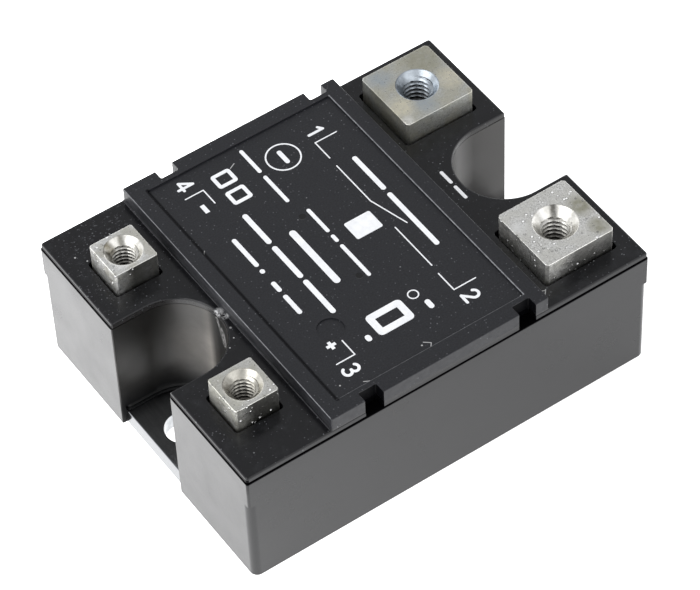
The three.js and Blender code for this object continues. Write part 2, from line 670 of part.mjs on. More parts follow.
// Side 1 is +Y, with terminals 1 and 4; side -1 is -Y, with terminals 2 and 3
for (const [side, outputNumber, inputNumber] of [[1, 1, 4], [-1, 2, 3]]) {
  place(`output_terminal_${outputNumber}`, makeTerminal(OUTPUT_BLOCK, side), nickel);
  place(`input_terminal_${inputNumber}`, makeTerminal(INPUT_BLOCK, side), nickel);
  place(`output_lead_${outputNumber}`, makeLead(side), tinnedCopper);
  place(`input_pin_${inputNumber}`, makeInputPin(side), tinnedCopper);
  place(`copper_pad_${outputNumber}`, makePad(side), rawCopper);
  place(`thyristor_die_${outputNumber}`, makeDie(side), silicon);
  place(`cathode_clip_${outputNumber}`, makeClip(side), tinnedCopper);
  place(`gate_pin_${outputNumber}`, makeGatePin(side), tinnedCopper);
  place(`pad_pin_${outputNumber}`, makePadPin(side), tinnedCopper);
}

place('control_board', makeBoard(), boardGreen);
place('optocoupler', makeOptocoupler(), moulding);
place('snubber_capacitor', makeCapacitor(), capacitorBlue);
place('input_transistor', makeTransistor(), moulding);
for (const [name, part] of Object.entries(AXIAL_PARTS)) {
  place(name, axialPart(part), name === 'input_diode' ? moulding : resistorBody);
}
place('gel_filling', makeGel(), gelClear);
place('potting_block', makePotting(), resinBlack);

export default relay;
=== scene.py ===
"""Looks for a panel-mount solid state relay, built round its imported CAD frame. Lengths are in millimetres."""

import math

import bmesh
import bpy
from mathutils import Matrix, Vector


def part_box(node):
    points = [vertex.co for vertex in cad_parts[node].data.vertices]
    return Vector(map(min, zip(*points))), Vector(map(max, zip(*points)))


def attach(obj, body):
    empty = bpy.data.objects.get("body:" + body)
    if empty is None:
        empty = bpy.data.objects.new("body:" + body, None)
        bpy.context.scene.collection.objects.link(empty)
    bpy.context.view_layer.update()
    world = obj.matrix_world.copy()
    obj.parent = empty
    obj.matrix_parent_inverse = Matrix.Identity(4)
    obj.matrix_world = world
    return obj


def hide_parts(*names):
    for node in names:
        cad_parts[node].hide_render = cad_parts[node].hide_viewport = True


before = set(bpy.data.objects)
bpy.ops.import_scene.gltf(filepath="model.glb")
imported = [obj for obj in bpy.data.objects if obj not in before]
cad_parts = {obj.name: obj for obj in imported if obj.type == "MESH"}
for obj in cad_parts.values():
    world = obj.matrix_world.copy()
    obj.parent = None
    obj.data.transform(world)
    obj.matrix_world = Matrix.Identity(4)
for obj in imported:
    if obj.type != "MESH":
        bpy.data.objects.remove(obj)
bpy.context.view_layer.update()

MM = 0.001
scene = bpy.context.scene


def cad_box(node):
    """The lowest and highest corner of a CAD node, in millimetres."""
    low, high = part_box(node)
    return Vector(low) / MM, Vector(high) / MM


# --- Dimensions, from the frame where it holds them ---

case_low, case_high = cad_box("housing")
cover_low, cover_high = cad_box("cover")
plate_low, plate_high = cad_box("base_plate")

HALF_L = case_high.x
HALF_W = case_high.y
CASE_BOTTOM = case_low.z
CASE_TOP = case_high.z
BLOCK_TOP = cover_high.z
COVER_BOTTOM = cover_low.z
FLANGE_HALF_L = cover_high.x
TAB_HALF_W = cover_high.y
PLATE_TOP = plate_high.z

HOLE_X = 23.8
HOLE_R = 2.4
HOLE_REACH = 0.4
HOLE_EDGE = 0.12
PLATE_EDGE = 0.16
PLATE_CORNER_R = 1.2
NOTCH_R = 6.25
NOTCH_WALL = 1.4
WALL = 1.6
TOP_CHAMFER = 0.08
CORNER_STEP_Z = 13.5
WALL_LEVELS = (3.6, 7.0, 10.0, CORNER_STEP_Z - 0.05, CORNER_STEP_Z, 15.5, CASE_TOP - TOP_CHAMFER)
LOWER_CORNER_R = 1.0
UPPER_CORNER_R = 0.3
INNER_CORNER_R = 1.0
INNER_MOUTH_R = 0.3
MOUTH_R = 0.15
DRAFT = 0.02
NOTCH_DRAFT = 0.1
FOOT_R = 0.07
LEDGE_Z = 3.0
SEAT_CLEARANCE = 0.02
SEAT_CORNER_R = 1.3
POST_INPUT_X = -20.2
POST_INPUT_TOP = 11.9
POST_OUTPUT_X = 15.3
POST_OUTPUT_TOP = 10.1
POST_CORNER_R = 0.2
POST_SINK = 0.1
BEAD_INSET = 0.62
BEAD_HALF_WIDTH = 0.36
BEAD_SQUASH = 1.35

DECK_TOP = 18.75
FLANGE_INSET = 0.1
FLANGE_BOTTOM = CASE_TOP + 0.15
FLANGE_HALF_W = HALF_W - FLANGE_INSET
FLANGE_ROUND = 0.3
LIP_Z = CASE_TOP + 0.08
TAB_BOTTOM = CASE_TOP + 0.1
BLOCK_ROUND = 0.14
BLOCK_CORNER_R = 0.2
RISER_FILLET = 0.15
BLOCK_HALF_W = FLANGE_HALF_W - 0.07
BLOCK_X = (-16.75, 13.95)
PANEL_X = (-14.6, 11.85)
PANEL_HALF_W = 19.9
PANEL_Z = BLOCK_TOP - 0.25
PANEL_CORNER_R = 0.25
SLOT_X = 10.85
SLOT_WIDTH = 2.5
SLOT_DEPTH = 1.5
SLOT_Y = FLANGE_HALF_W - SLOT_DEPTH
SLOT_CORNER_R = 0.2
GATE_X, GATE_Y, GATE_R, GATE_DEPTH = -9.05, -10.75, 1.7, 0.15
WINDOW_GAP = 0.35
WINDOW_CORNER_R = 0.45
WINDOW_EDGE = 0.07
TOP_EDGE = 0.05
COVER_WALL = 1.5
HOLLOW_CORNER_R = 0.5
PLUG_FIT = 1.9
PLUG_NOTCH = 1.7

# Each terminal's thread: minor and major radius, pitch, radius of the countersink, depth of the hole.
BORES = {
    "output_terminal_1": (1.62, 2.03, 0.7, 2.65, 8.0),
    "output_terminal_2": (1.62, 2.03, 0.7, 2.80, 8.0),
    "input_terminal_3": (1.40, 1.78, 0.6, 2.36, 7.0),
    "input_terminal_4": (1.40, 1.78, 0.6, 2.36, 7.0),
}
# Shares of half a pitch: the thread's crest is flat up to the first, its root from the second on.
CREST, ROOT = 0.14, 0.76


def terminal_facts(node):
    """A terminal's middle x and y, half width, bottom and top."""
    low, high = cad_box(node)
    return (low.x + high.x) / 2, (low.y + high.y) / 2, (high.x - low.x) / 2, low.z, high.z


WINDOWS = [(x, y, half + WINDOW_GAP) for x, y, half, _, _ in map(terminal_facts, BORES)]


# --- Mesh helpers ---

PATH_STEP = 0.02
NOTCH_STEPS, MOUTH_STEPS, CORNER_STEPS = 56, 6, 8
WELD = 0.002
FLAT_ANGLE = 0.5
SHARP_ANGLE = 30.0
SMOOTH_ANGLE = 32.0


def arc(cx, cy, radius, start, end, steps, radius_y=None):
    """Points on an arc, angles in degrees; radius_y makes it part of an ellipse."""
    points = []
    for i in range(steps + 1):
        angle = math.radians(start + (end - start) * i / steps)
        points.append((cx + radius * math.cos(angle), cy + (radius_y or radius) * math.sin(angle)))
    return points


def circle(cx, cy, radius, steps=64):
    return arc(cx, cy, radius, 0, 360, steps)[:-1]


def rounded_rect(x0, x1, y0, y1, radius, steps=6):
    left, right, front, back = x0 + radius, x1 - radius, y0 + radius, y1 - radius
    points = []
    for i, (x, y) in enumerate(((right, back), (left, back), (left, front), (right, front))):
        points += arc(x, y, radius, 90 * i, 90 * i + 90, steps)
    return points


def quarter_turns(steps):
    """Pairs (inward, upward), each from 0 to 1, round a convex quarter circle."""
    turns = [math.radians(90 * i / steps) for i in range(steps + 1)]
    return [(1 - math.cos(turn), math.sin(turn)) for turn in turns]


def notched_path(half_l, half_w, notch_r, corner_r, mouth_r):
    """The case's plan, counterclockwise, as (x, y, deep): a rectangle with a U notch in each end.

    Points are deep where they are inside a notch by more than the base plate's margin."""
    edge = min(plate_high.x + SEAT_CLEARANCE, half_l - mouth_r - PATH_STEP)
    mouth_x, mouth_y = half_l - mouth_r, notch_r + mouth_r
    corner_x, corner_y = half_l - corner_r, half_w - corner_r

    def end(side):
        """One end's notch and its mouth; side is 1 or -1."""
        turn = -90 * side
        low = arc(side * mouth_x, -side * mouth_y, mouth_r, turn + 90, turn + 180, MOUTH_STEPS)
        low.append((side * edge, -side * notch_r))
        deep = [(side * (edge - PATH_STEP), -side * notch_r)]
        deep += arc(side * HOLE_X, 0, notch_r, turn + 360, turn + 180, NOTCH_STEPS)
        deep.append((side * (edge - PATH_STEP), side * notch_r))
        high = [(side * edge, side * notch_r)]
        high += arc(side * mouth_x, side * mouth_y, mouth_r, turn, turn + 90, MOUTH_STEPS)
        return [(x, y, part is deep) for part in (low, deep, high) for x, y in part]

    def corners(side):
        """The two corners of one long side."""
        turn = 90 - 90 * side
        points = arc(side * corner_x, side * corner_y, corner_r, turn, turn + 90, CORNER_STEPS)
        points += arc(-side * corner_x, side * corner_y, corner_r, turn + 90, turn + 180, CORNER_STEPS)
        return [(x, y, False) for x, y in points]

    return [*end(1), *corners(1), *end(-1), *corners(-1)]


def notched_outline(*sizes):
    return [(x, y) for x, y, deep in notched_path(*sizes)]


def edited(mesh, change):
    """The mesh after change has worked on it as a bmesh."""
    bm = bmesh.new()
    bm.from_mesh(mesh)
    change(bm)
    bm.to_mesh(mesh)
    bm.free()
    return mesh


def mesh_from(verts, faces):
    mesh = bpy.data.meshes.new("mesh")
    mesh.from_pydata([Vector(v) * MM for v in verts], [], faces)
    return edited(mesh, lambda bm: bmesh.ops.recalc_face_normals(bm, faces=bm.faces))


def loft(rings, tube=False):
    """A closed mesh through rings of equal length: capped at both ends, or joined last to first."""
    n = len(rings[0])
    verts = [point for ring in rings for point in ring]
    faces = []
    for i in range(len(rings) if tube else len(rings) - 1):
        a, b = i * n, ((i + 1) % len(rings)) * n
        for j in range(n):
            k = (j + 1) % n
            faces.append((a + j, a + k, b + k, b + j))
    if not tube:
        faces.append(tuple(reversed(range(n))))
        faces.append(tuple(range(len(verts) - n, len(verts))))
    return mesh_from(verts, faces)


def prism(points, z0, z1):
    return loft([[(x, y, z) for x, y in points] for z in (z0, z1)])


def shade(mesh, angle):
    """Smooth shading, with sharp edges where faces meet at more than the angle in degrees."""
    limit = math.radians(angle)

    def smooth(bm):
        for face in bm.faces:
            face.smooth = True
        for edge in bm.edges:
            edge.smooth = len(edge.link_faces) == 2 and edge.calc_face_angle(0.0) < limit

    return edited(mesh, smooth)


def placed(name, data):
    """A new object in the scene."""
    obj = bpy.data.objects.new(name, data)
    scene.collection.objects.link(obj)
    return obj


def baked(obj):
    """The object's mesh with its modifiers applied."""
    bpy.context.view_layer.update()
    graph = bpy.context.evaluated_depsgraph_get()
    return bpy.data.meshes.new_from_object(obj.evaluated_get(graph))


def carve(base, joined=(), cut=()):
    """A mesh with others joined to it and then others cut from it."""
    objects = [placed("temporary", base)]
    for meshes, operation in ((joined, "UNION"), (cut, "DIFFERENCE")):
        for mesh in meshes:
            objects.append(placed("temporary", mesh))
            modifier = objects[0].modifiers.new(operation, "BOOLEAN")
            modifier.operation = operation
            modifier.object = objects[-1]
            modifier.solver = "EXACT"
    result = baked(objects[0])
    for obj in objects:
        bpy.data.objects.remove(obj)
    return result


def round_edges(mesh, width_of, segments=3):
    """Rounds each sharp edge by the width that width_of(midpoint, direction, convex) gives."""
    def weigh(bm):
        """Cleans the mesh and writes each sharp edge's width in millimetres as its bevel weight."""
        bmesh.ops.remove_doubles(bm, verts=bm.verts, dist=WELD * MM)
        bmesh.ops.dissolve_limit(
            bm, angle_limit=math.radians(FLAT_ANGLE), verts=bm.verts, edges=bm.edges, delimit={"NORMAL"})
        bmesh.ops.holes_fill(bm, edges=bm.edges, sides=4)
        layer = bm.edges.layers.float.new("bevel_weight_edge")
        for edge in bm.edges:
            if len(edge.link_faces) == 2 and edge.calc_face_angle(0.0) >= math.radians(SHARP_ANGLE):
                a, b = (vert.co / MM for vert in edge.verts)
                edge[layer] = width_of((a + b) / 2, (b - a).normalized(), edge.is_convex)

    obj = placed("temporary", edited(mesh, weigh))
    bevel = obj.modifiers.new("bevel", "BEVEL")
    bevel.limit_method = "WEIGHT"
    bevel.offset_type = "OFFSET"
    bevel.width = MM
    bevel.segments = segments
    bevel.use_clamp_overlap = True
    bevel.miter_outer = "MITER_SHARP"
    result = baked(obj)
    bpy.data.objects.remove(obj)
    return result


def weigh_normals(obj):
    modifier = obj.modifiers.new("weighted_normals", "WEIGHTED_NORMAL")
    modifier.keep_sharp = True


def piece(name, mesh, materials, nodes=(), angle=SMOOTH_ANGLE):
    """Adds a mesh to the scene as a piece of the part, in place of the CAD nodes named."""
    shade(mesh, angle)
    for material in materials:
        mesh.materials.append(material)
    obj = placed(name, mesh)
    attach(obj, "root")
    if nodes:
        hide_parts(*nodes)
    weigh_normals(obj)


# --- Node materials ---

class Nodes:
    """A small builder for one node material; a source is a node's output, or a plain number or colour."""

    def __init__(self, name):
        self.material = bpy.data.materials.new(name)
        self.material.use_nodes = True
        self.tree = self.material.node_tree
        self.tree.nodes.clear()
        self.shader = self.add("BsdfPrincipled")
        self.feed(self.add("OutputMaterial").inputs["Surface"], self.shader.outputs["BSDF"])
        self.place = self.add("TexCoord").outputs["Object"]
        self.split = None

    def add(self, kind):
        return self.tree.nodes.new("ShaderNode" + kind)

    def feed(self, socket, source):
        """Links a source to a socket, or sets a plain value on it."""
        if isinstance(source, bpy.types.NodeSocket):
            self.tree.links.new(source, socket)
        elif socket.type == "RGBA":
            socket.default_value = (*source, 1.0)
        else:
            socket.default_value = source

    def noise(self, size, detail=3.0, rough=0.55, stretch=None):
        """Noise whose features are about size millimetres across."""
        node = self.add("TexNoise")
        node.inputs["Scale"].default_value = 1 / (size * MM)
        node.inputs["Detail"].default_value = detail
        node.inputs["Roughness"].default_value = rough
        place = self.place
        if stretch:
            mapping = self.add("Mapping")
            mapping.inputs["Scale"].default_value = stretch
            self.feed(mapping.inputs["Vector"], place)
            place = mapping.outputs["Vector"]
        self.feed(node.inputs["Vector"], place)
        return node.outputs["Fac"]

    def cells(self, size, feature="F1"):
        node = self.add("TexVoronoi")
        node.feature = feature
        node.inputs["Scale"].default_value = 1 / (size * MM)
        self.feed(node.inputs["Vector"], self.place)
        return node

    def ramp(self, source, *stops):
        """A colour ramp; each stop is (position, grey or colour)."""
        node = self.add("ValToRGB")
        elements = node.color_ramp.elements
        while len(elements) < len(stops):
            elements.new(0.5)
        for element, (position, value) in zip(elements, stops):
            element.position = position
            element.color = (*value, 1.0) if isinstance(value, tuple) else (value, value, value, 1.0)
        self.feed(node.inputs["Fac"], source)
        return node.outputs["Color"]

    def patchy(self, size, detail, rough, *stops, stretch=None):
        """Noise through a colour ramp."""
        return self.ramp(self.noise(size, detail, rough, stretch), *stops)

    def mix(self, factor, a, b):
        """Blends two colours. The mix node's colour sockets are inputs 6 and 7 and output 2."""
        node = self.add("Mix")
        node.data_type = "RGBA"
        self.feed(node.inputs["Factor"], factor)
        self.feed(node.inputs[6], a)
        self.feed(node.inputs[7], b)
        return node.outputs[2]

    def coat(self, colour, *coats):
        """Lays coats over a colour in turn; each is (mask, colour)."""
        for mask, tint in coats:
            colour = self.mix(mask, colour, tint)
        return colour

    def operate(self, kind, operation, *sources):
        node = self.add(kind)
        node.operation = operation
        for socket, source in zip(node.inputs, sources):
            self.feed(socket, source)
        return node.outputs

    def math(self, operation, *sources):
        return self.operate("Math", operation, *sources)[0]

    def remap(self, source, low, high, start=0.3, end=0.7):
        """Low where the source is at or under start, high from end on, and linear between them."""
        node = self.add("MapRange")
        node.clamp = True
        values = {"Value": source, "From Min": start, "From Max": end, "To Min": low, "To Max": high}
        for name, value in values.items():
            self.feed(node.inputs[name], value)
        return node.outputs["Result"]

    def above(self, source, start, end):
        return self.remap(source, 0.0, 1.0, start, end)

    def below(self, source, start, end):
        return self.remap(source, 1.0, 0.0, start, end)

    def inverse(self, mask):
        return self.math("SUBTRACT", 1.0, mask)

    def most(self, *masks):
        """The greatest of several masks."""
        result = masks[0]
        for mask in masks[1:]:
            result = self.math("MAXIMUM", result, mask)
        return result

    def scaled(self, mask, *factors):
        for factor in factors:
            mask = self.math("MULTIPLY", mask, factor)
        return mask

    def axis(self, name):
        """The distance along an axis, in millimetres."""
        if not self.split:
            self.split = self.add("SeparateXYZ")
            self.feed(self.split.inputs[0], self.place)
        return self.math("MULTIPLY", self.split.outputs[name], 1 / MM)

    def off_axis(self, name):
        """The distance either way along an axis, in millimetres."""
        return self.math("ABSOLUTE", self.axis(name))

    def specks(self, size, share, radius):
        """1 on a scatter of dots, with the radius as a share of the cell; only a share of cells has one."""
        cells = self.cells(size)
        dot = self.ramp(cells.outputs["Distance"], (radius * 0.6, 1.0), (radius, 0.0))
        chosen = self.ramp(cells.outputs["Color"], (share, 1.0), (share + 0.02, 0.0))
        return self.scaled(dot, chosen)

    def line(self, start, end, half_width, softness=0.5):
        """1 on the thin line between two points given in millimetres."""
        a, b = Vector(start) * MM, Vector(end) * MM
        along = b - a
        offset = self.operate("VectorMath", "SUBTRACT", self.place, tuple(a))["Vector"]
        unit = tuple(along / along.length_squared)
        reach = self.operate("VectorMath", "DOT_PRODUCT", offset, unit)["Value"]
        share = self.remap(reach, 0.0, 1.0, 0.0, 1.0)
        foot = self.operate("VectorMath", "MULTIPLY", tuple(along), share)["Vector"]
        gap = self.operate("VectorMath", "DISTANCE", offset, foot)["Value"]
        return self.below(gap, half_width * softness * MM, half_width * MM)

    def stripe(self, x, reach, z, half_width):
        """1 on a line along Y, as long either way as its reach."""
        return self.line((x, -reach, z), (x, reach, z), half_width)

    def dot(self, centre, radius, softness=0.7):
        """1 inside a small ball round a point given in millimetres."""
        gap = self.operate("VectorMath", "DISTANCE", self.place, tuple(Vector(centre) * MM))["Value"]
        return self.below(gap, radius * softness * MM, radius * MM)

    def surface(self, colour, roughness, *bumps, **others):
        """Feeds the shader and returns the material; in the names of other inputs _ stands for a space.

        Each bump is (height source, strength, distance in millimetres), the first one lowest."""
        for name, source in {"Base_Color": colour, "Roughness": roughness, **others}.items():
            self.feed(self.shader.inputs[name.replace("_", " ")], source)
        target = self.shader.inputs["Normal"]
        for height, strength, distance in reversed(bumps):
            node = self.add("Bump")
            node.invert = strength < 0
            node.inputs["Strength"].default_value = abs(strength)
            node.inputs["Distance"].default_value = distance * MM
            self.feed(node.inputs["Height"], height)
            self.feed(target, node.outputs["Normal"])
            target = node.inputs["Normal"]
        return self.material


PLASTIC_IOR = 1.42
BLACK = (0.0, 0.0, 0.0)
# Near black for painted shade where little light reaches, on the case and on the cover.
PAINTED_SHADE = (0.0012, 0.0012, 0.0015)
# Lighter tone of the streaks down the block's input riser.
RISER_STREAK_TONE = (0.036, 0.0365, 0.040)
SCUFFED = (0.035, 0.035, 0.038)
PALE_DUST = (0.16, 0.16, 0.165)
BARED = (0.27, 0.265, 0.26)
NOTCH_HAZE = (0.042, 0.039, 0.036)
# The notch tint and the two ramps below shape a painted reflection on the input notch wall: a pale warm band
# across it, dark towards its sides, strongest partway up.
NOTCH_TINT = (1.0, 0.93, 0.84)
NOTCH_ACROSS = (
    (0.3, 0.004), (0.54, 0.01), (0.61, 0.05), (0.67, 0.24),
    (0.74, 0.14), (0.82, 0.11), (0.92, 0.06), (0.98, 0.02))
NOTCH_UP = ((0.06, 0.02), (0.28, 0.5), (0.42, 1.0), (0.62, 1.0), (0.8, 0.5), (1.0, 0.3))
WALL_SCARS = (
    ((-17.5, -0.4, 16.0), (-17.55, -0.8, 14.2), 0.8),
    ((-17.56, 0.6, 17.6), (-17.56, 0.2, 16.4), 0.3))


def case_plastic():
    """Black moulding: slightly wavy gloss, pale dust and scuffs; a painted reflection lays a pale band across
    the notch wall at one end, and painted shade darkens the notch foot and the case's top rim.
    """
    n = Nodes("case_plastic")
    across, up = n.axis("Y"), n.axis("Z")
    dust = n.specks(1.1, 0.16, 0.085)
    pits = n.specks(1.7, 0.12, 0.07)
    scuffs = n.patchy(0.9, 5.0, 0.75, (0.66, 0.0), (0.74, 0.35), stretch=(1.0, 1.0, 0.3))
    in_notch = n.below(n.off_axis("Y"), NOTCH_R + 0.1, NOTCH_R + 0.3)
    at_input = n.below(n.axis("X"), -0.1, 0.1)
    # Painted reflection on the input notch wall, broken up by noise.
    painted_reflection = n.scaled(
        n.ramp(n.above(across, -NOTCH_R, NOTCH_R), *NOTCH_ACROSS),
        n.ramp(n.above(up, 0.0, DECK_TOP), *NOTCH_UP),
        n.patchy(1.5, 4.0, 0.6, (0.3, 0.8), (0.7, 1.0)))
    # Painted shade: darker at the foot of the notch wall and in a thin line along the case's top rim, with
    # weaker specular reflection there.
    foot = n.scaled(n.below(up, LEDGE_Z, LEDGE_Z + 2.5), in_notch, 0.85)
    rim = n.scaled(n.above(up, CASE_TOP - 0.2, CASE_TOP - 0.1), n.inverse(in_notch))
    shaded = n.most(foot, rim)
    scars = n.most(*[n.line(start, end, width) for start, end, width in WALL_SCARS])
    ragged = n.patchy(0.45, 4.0, 0.7, (0.42, 0.15), (0.6, 1.0))
    colour = n.coat(
        n.patchy(0.5, 4.0, 0.7, (0.3, (0.0035, 0.0035, 0.0042)), (0.7, (0.0065, 0.0065, 0.0075))),
        (scuffs, SCUFFED), (dust, PALE_DUST), (pits, BLACK),
        (n.scaled(in_notch, 0.8), NOTCH_HAZE),
        (n.scaled(in_notch, at_input), n.mix(painted_reflection, BLACK, NOTCH_TINT)),
        (shaded, PAINTED_SHADE), (n.scaled(scars, ragged), BARED))
    return n.surface(
        colour, n.math("ADD", n.remap(n.noise(5.0, 4.0), 0.19, 0.29), n.scaled(in_notch, 0.11)),
        (n.noise(0.3, 3.0), 0.05, 0.02), (n.noise(6.0, 2.0), 0.05, 0.08),
        (n.most(dust, pits, scars), 0.3, 0.02),
        IOR=PLASTIC_IOR, Specular_IOR_Level=n.remap(shaded, 0.5, 0.03, 0.0, 1.0))


# Scratches as pairs of ends, and painted glints as bright specks with their radius, seen from above on the
# cover.
HAIRS = (
    ((-20.9, 17.6), (-19.2, 17.3)), ((-20.9, 17.6), (-21.1, 18.4)), ((-21.2, 17.3), (-20.7, 17.9)),
    ((-1.6, -18.7), (-0.9, -19.3)), ((-0.9, -19.3), (-1.3, -19.8)), ((-10.5, -19.4), (-9.6, -19.9)),
    ((10.6, -20.5), (11.6, -19.7)), ((14.6, -19.3), (15.2, -19.6)), ((14.9, -20.1), (15.4, -19.5)),
    ((-14.2, 8.0), (-14.6, 7.5)), ((-3.6, 17.6), (-4.4, 17.2)), ((-19.4, -2.4), (-18.9, -3.0)),
)
GLINTS = (
    (-19.7, -4.7, 0.13), (-19.3, -4.9, 0.10), (-18.1, -3.9, 0.11), (-2.0, -19.0, 0.13), (17.3, 10.6, 0.15),
    (-13.0, -18.3, 0.12), (-26.4, 17.6, 0.14), (-25.5, 16.3, 0.12), (-24.4, 5.0, 0.10))
RIM_SCARS = (((-17.4, 0.45, 18.7), 0.75), ((-17.1, -0.6, 18.75), 0.5), ((-17.55, -2.4, 18.6), 0.25))
DIMPLES = ((-1.85, 5.6), (-1.7, -6.0))
DIMPLE_R = 0.5
EDGE_REACH = 21.7
# Pale tone of the scratches and of the painted glints.
HAIR_AND_GLINT_TONE = (0.42, 0.42, 0.42)
SCAR_TONE = (0.42, 0.42, 0.425)
# Painted highlight along the cover's top edges.
EDGE_HIGHLIGHT_TONE = (0.27, 0.275, 0.29)
DUST_TONES = ((0.095, 0.098, 0.108), (0.15, 0.153, 0.16), (0.085, 0.087, 0.095))
PANEL_BLACK = ((0.32, (0.0045, 0.0048, 0.0068)), (0.68, (0.0145, 0.0152, 0.0188)))
DECK_BLACK = ((0.32, (0.0022, 0.0023, 0.0032)), (0.68, (0.0050, 0.0051, 0.0064)))


def on_cover(x, y):
    """The point of the cover's deck or panel at x and y."""
    return x, y, PANEL_Z if BLOCK_X[0] < x < BLOCK_X[1] else DECK_TOP


def edge_highlights(n):
    """The cover's top edges that carry a painted highlight, most of all on the block's input side."""
    left, right = PANEL_X
    front = n.line((left, -PANEL_HALF_W, BLOCK_TOP), (right, -PANEL_HALF_W, BLOCK_TOP), 0.09)
    return n.most(
        n.stripe(BLOCK_X[0] + 0.03, EDGE_REACH, BLOCK_TOP, 0.09),
        n.stripe(right + 0.03, PANEL_HALF_W, BLOCK_TOP, 0.11),
        n.scaled(front, 0.4),
        n.scaled(n.stripe(BLOCK_X[1], EDGE_REACH, BLOCK_TOP, 0.09), 0.22))


def cover_shade(n, in_notch):
    """Where light hardly reaches the cover: the panel's input wall, the flange's sides and the -Y slots."""
    up = n.axis("Z")
    plain = n.inverse(in_notch)
    panel_wall = n.scaled(n.stripe(PANEL_X[0] + 0.1, PANEL_HALF_W, BLOCK_TOP - 0.1, 0.36), 0.75)
    flank = n.scaled(
        n.below(up, DECK_TOP - 0.34, DECK_TOP - 0.27), plain,
        n.remap(n.axis("X"), 0.95, 0.2, cover_low.x + 0.26, cover_low.x + 0.32))
    foot = n.scaled(n.below(up, FLANGE_BOTTOM + 0.06, FLANGE_BOTTOM + 0.16), plain)
    from_slot = n.math("ABSOLUTE", n.math("SUBTRACT", n.off_axis("X"), SLOT_X))
    in_slot = n.scaled(
        n.below(from_slot, SLOT_WIDTH / 2 + 0.01, SLOT_WIDTH / 2 + 0.04),
        n.below(n.axis("Y"), 0.01 - SLOT_Y, 0.04 - SLOT_Y),
        n.below(up, BLOCK_TOP - 0.16, BLOCK_TOP - 0.06), 0.86)
    return n.most(panel_wall, flank, foot, in_slot)


def cover_plastic():
    """Black moulding: glossy and dusty on the decks, finer and more matt on top, with painted highlights along
    its top edges and painted shade where light hardly reaches.
    """
    n = Nodes("cover_plastic")
    along, across, up = n.axis("X"), n.axis("Y"), n.axis("Z")
    on_top = n.above(up, DECK_TOP + 0.05, DECK_TOP + 0.2)
    in_notch = n.scaled(
        n.below(n.off_axis("Y"), NOTCH_R, NOTCH_R + 0.1), n.below(up, DECK_TOP - 0.25, DECK_TOP - 0.1))
    fine = n.noise(0.22, 3.0, 0.75)
    dust = n.scaled(n.specks(0.50, 0.55, 0.20), n.patchy(7.0, 2.0, 0.55, (0.42, 0.25), (0.62, 1.0)))
    coarse_dust = n.specks(1.3, 0.25, 0.085)
    lint = n.scaled(
        n.patchy(0.42, 3.0, 0.6, (0.61, 0.0), (0.70, 0.8), stretch=(1.0, 1.4, 1.0)),
        n.above(n.math("SUBTRACT", across, along), 28.0, 42.0))
    haze = n.scaled(n.patchy(1.6, 5.0, 0.7, (0.52, 0.0), (0.74, 0.5)), n.inverse(on_top))
    # Patches that break up the painted highlights along the edges and the riser's foot.
    wear_and_sheen_patches = n.patchy(0.9, 4.0, 0.7, (0.30, 0.35), (0.62, 1.0))
    marks = [n.line(on_cover(*start), on_cover(*end), 0.07) for start, end in HAIRS]
    marks += [n.dot(on_cover(x, y), radius) for x, y, radius in GLINTS]
    dimples = n.most(*[n.dot(on_cover(x, y), DIMPLE_R, 0.8) for x, y in DIMPLES])
    # Lighter streaks down the block's input riser.
    riser = n.scaled(
        n.below(along, BLOCK_X[0] + 0.02, BLOCK_X[0] + 0.06), n.above(up, DECK_TOP + 0.1, DECK_TOP + 0.2),
        n.patchy(0.5, 4.0, 0.7, (0.40, 0.1), (0.62, 1.0), stretch=(1.0, 0.15, 1.0)))
    # Painted highlight along the fillet at the foot of the input riser.
    fillet = n.scaled(n.stripe(BLOCK_X[0] - RISER_FILLET, EDGE_REACH + 0.1, DECK_TOP, 0.08), wear_and_sheen_patches, 0.5)
    # Painted shade: near black and with weaker specular reflection on the panel's input wall, the flange's
    # sides and foot, and the -Y slots.
    shaded = cover_shade(n, in_notch)
    scars = n.scaled(
        n.most(*[n.dot(centre, radius, 0.5) for centre, radius in RIM_SCARS]),
        n.patchy(0.38, 4.0, 0.75, (0.44, 0.0), (0.54, 1.0)))
    colour = n.coat(
        n.mix(on_top, n.ramp(fine, *DECK_BLACK), n.ramp(fine, *PANEL_BLACK)),
        (n.scaled(in_notch, 0.3), NOTCH_HAZE), (haze, (0.020, 0.021, 0.024)),
        *zip((dust, coarse_dust, lint), DUST_TONES),
        (n.scaled(edge_highlights(n), wear_and_sheen_patches), EDGE_HIGHLIGHT_TONE), (n.most(*marks), HAIR_AND_GLINT_TONE),
        (dimples, (0.0015, 0.0015, 0.002)), (riser, RISER_STREAK_TONE), (fillet, (0.16, 0.162, 0.17)),
        (shaded, PAINTED_SHADE), (scars, SCAR_TONE))
    polish = n.mix(on_top, n.remap(n.noise(2.2, 4.0), 0.16, 0.27), n.remap(n.noise(0.8, 3.0), 0.36, 0.50))
    return n.surface(
        colour, n.math("ADD", polish, n.scaled(in_notch, 0.06)),
        (n.noise(0.16, 2.0), 0.14, 0.02), (n.noise(3.5, 2.0), 0.06, 0.06),
        (n.most(dust, coarse_dust, scars), 0.5, 0.03), (dimples, -0.5, 0.05),
        IOR=PLASTIC_IOR, Specular_IOR_Level=n.remap(shaded, 0.5, 0.0, 0.0, 1.0))


def dimmed(colour, share):
    return tuple(share * value for value in colour)


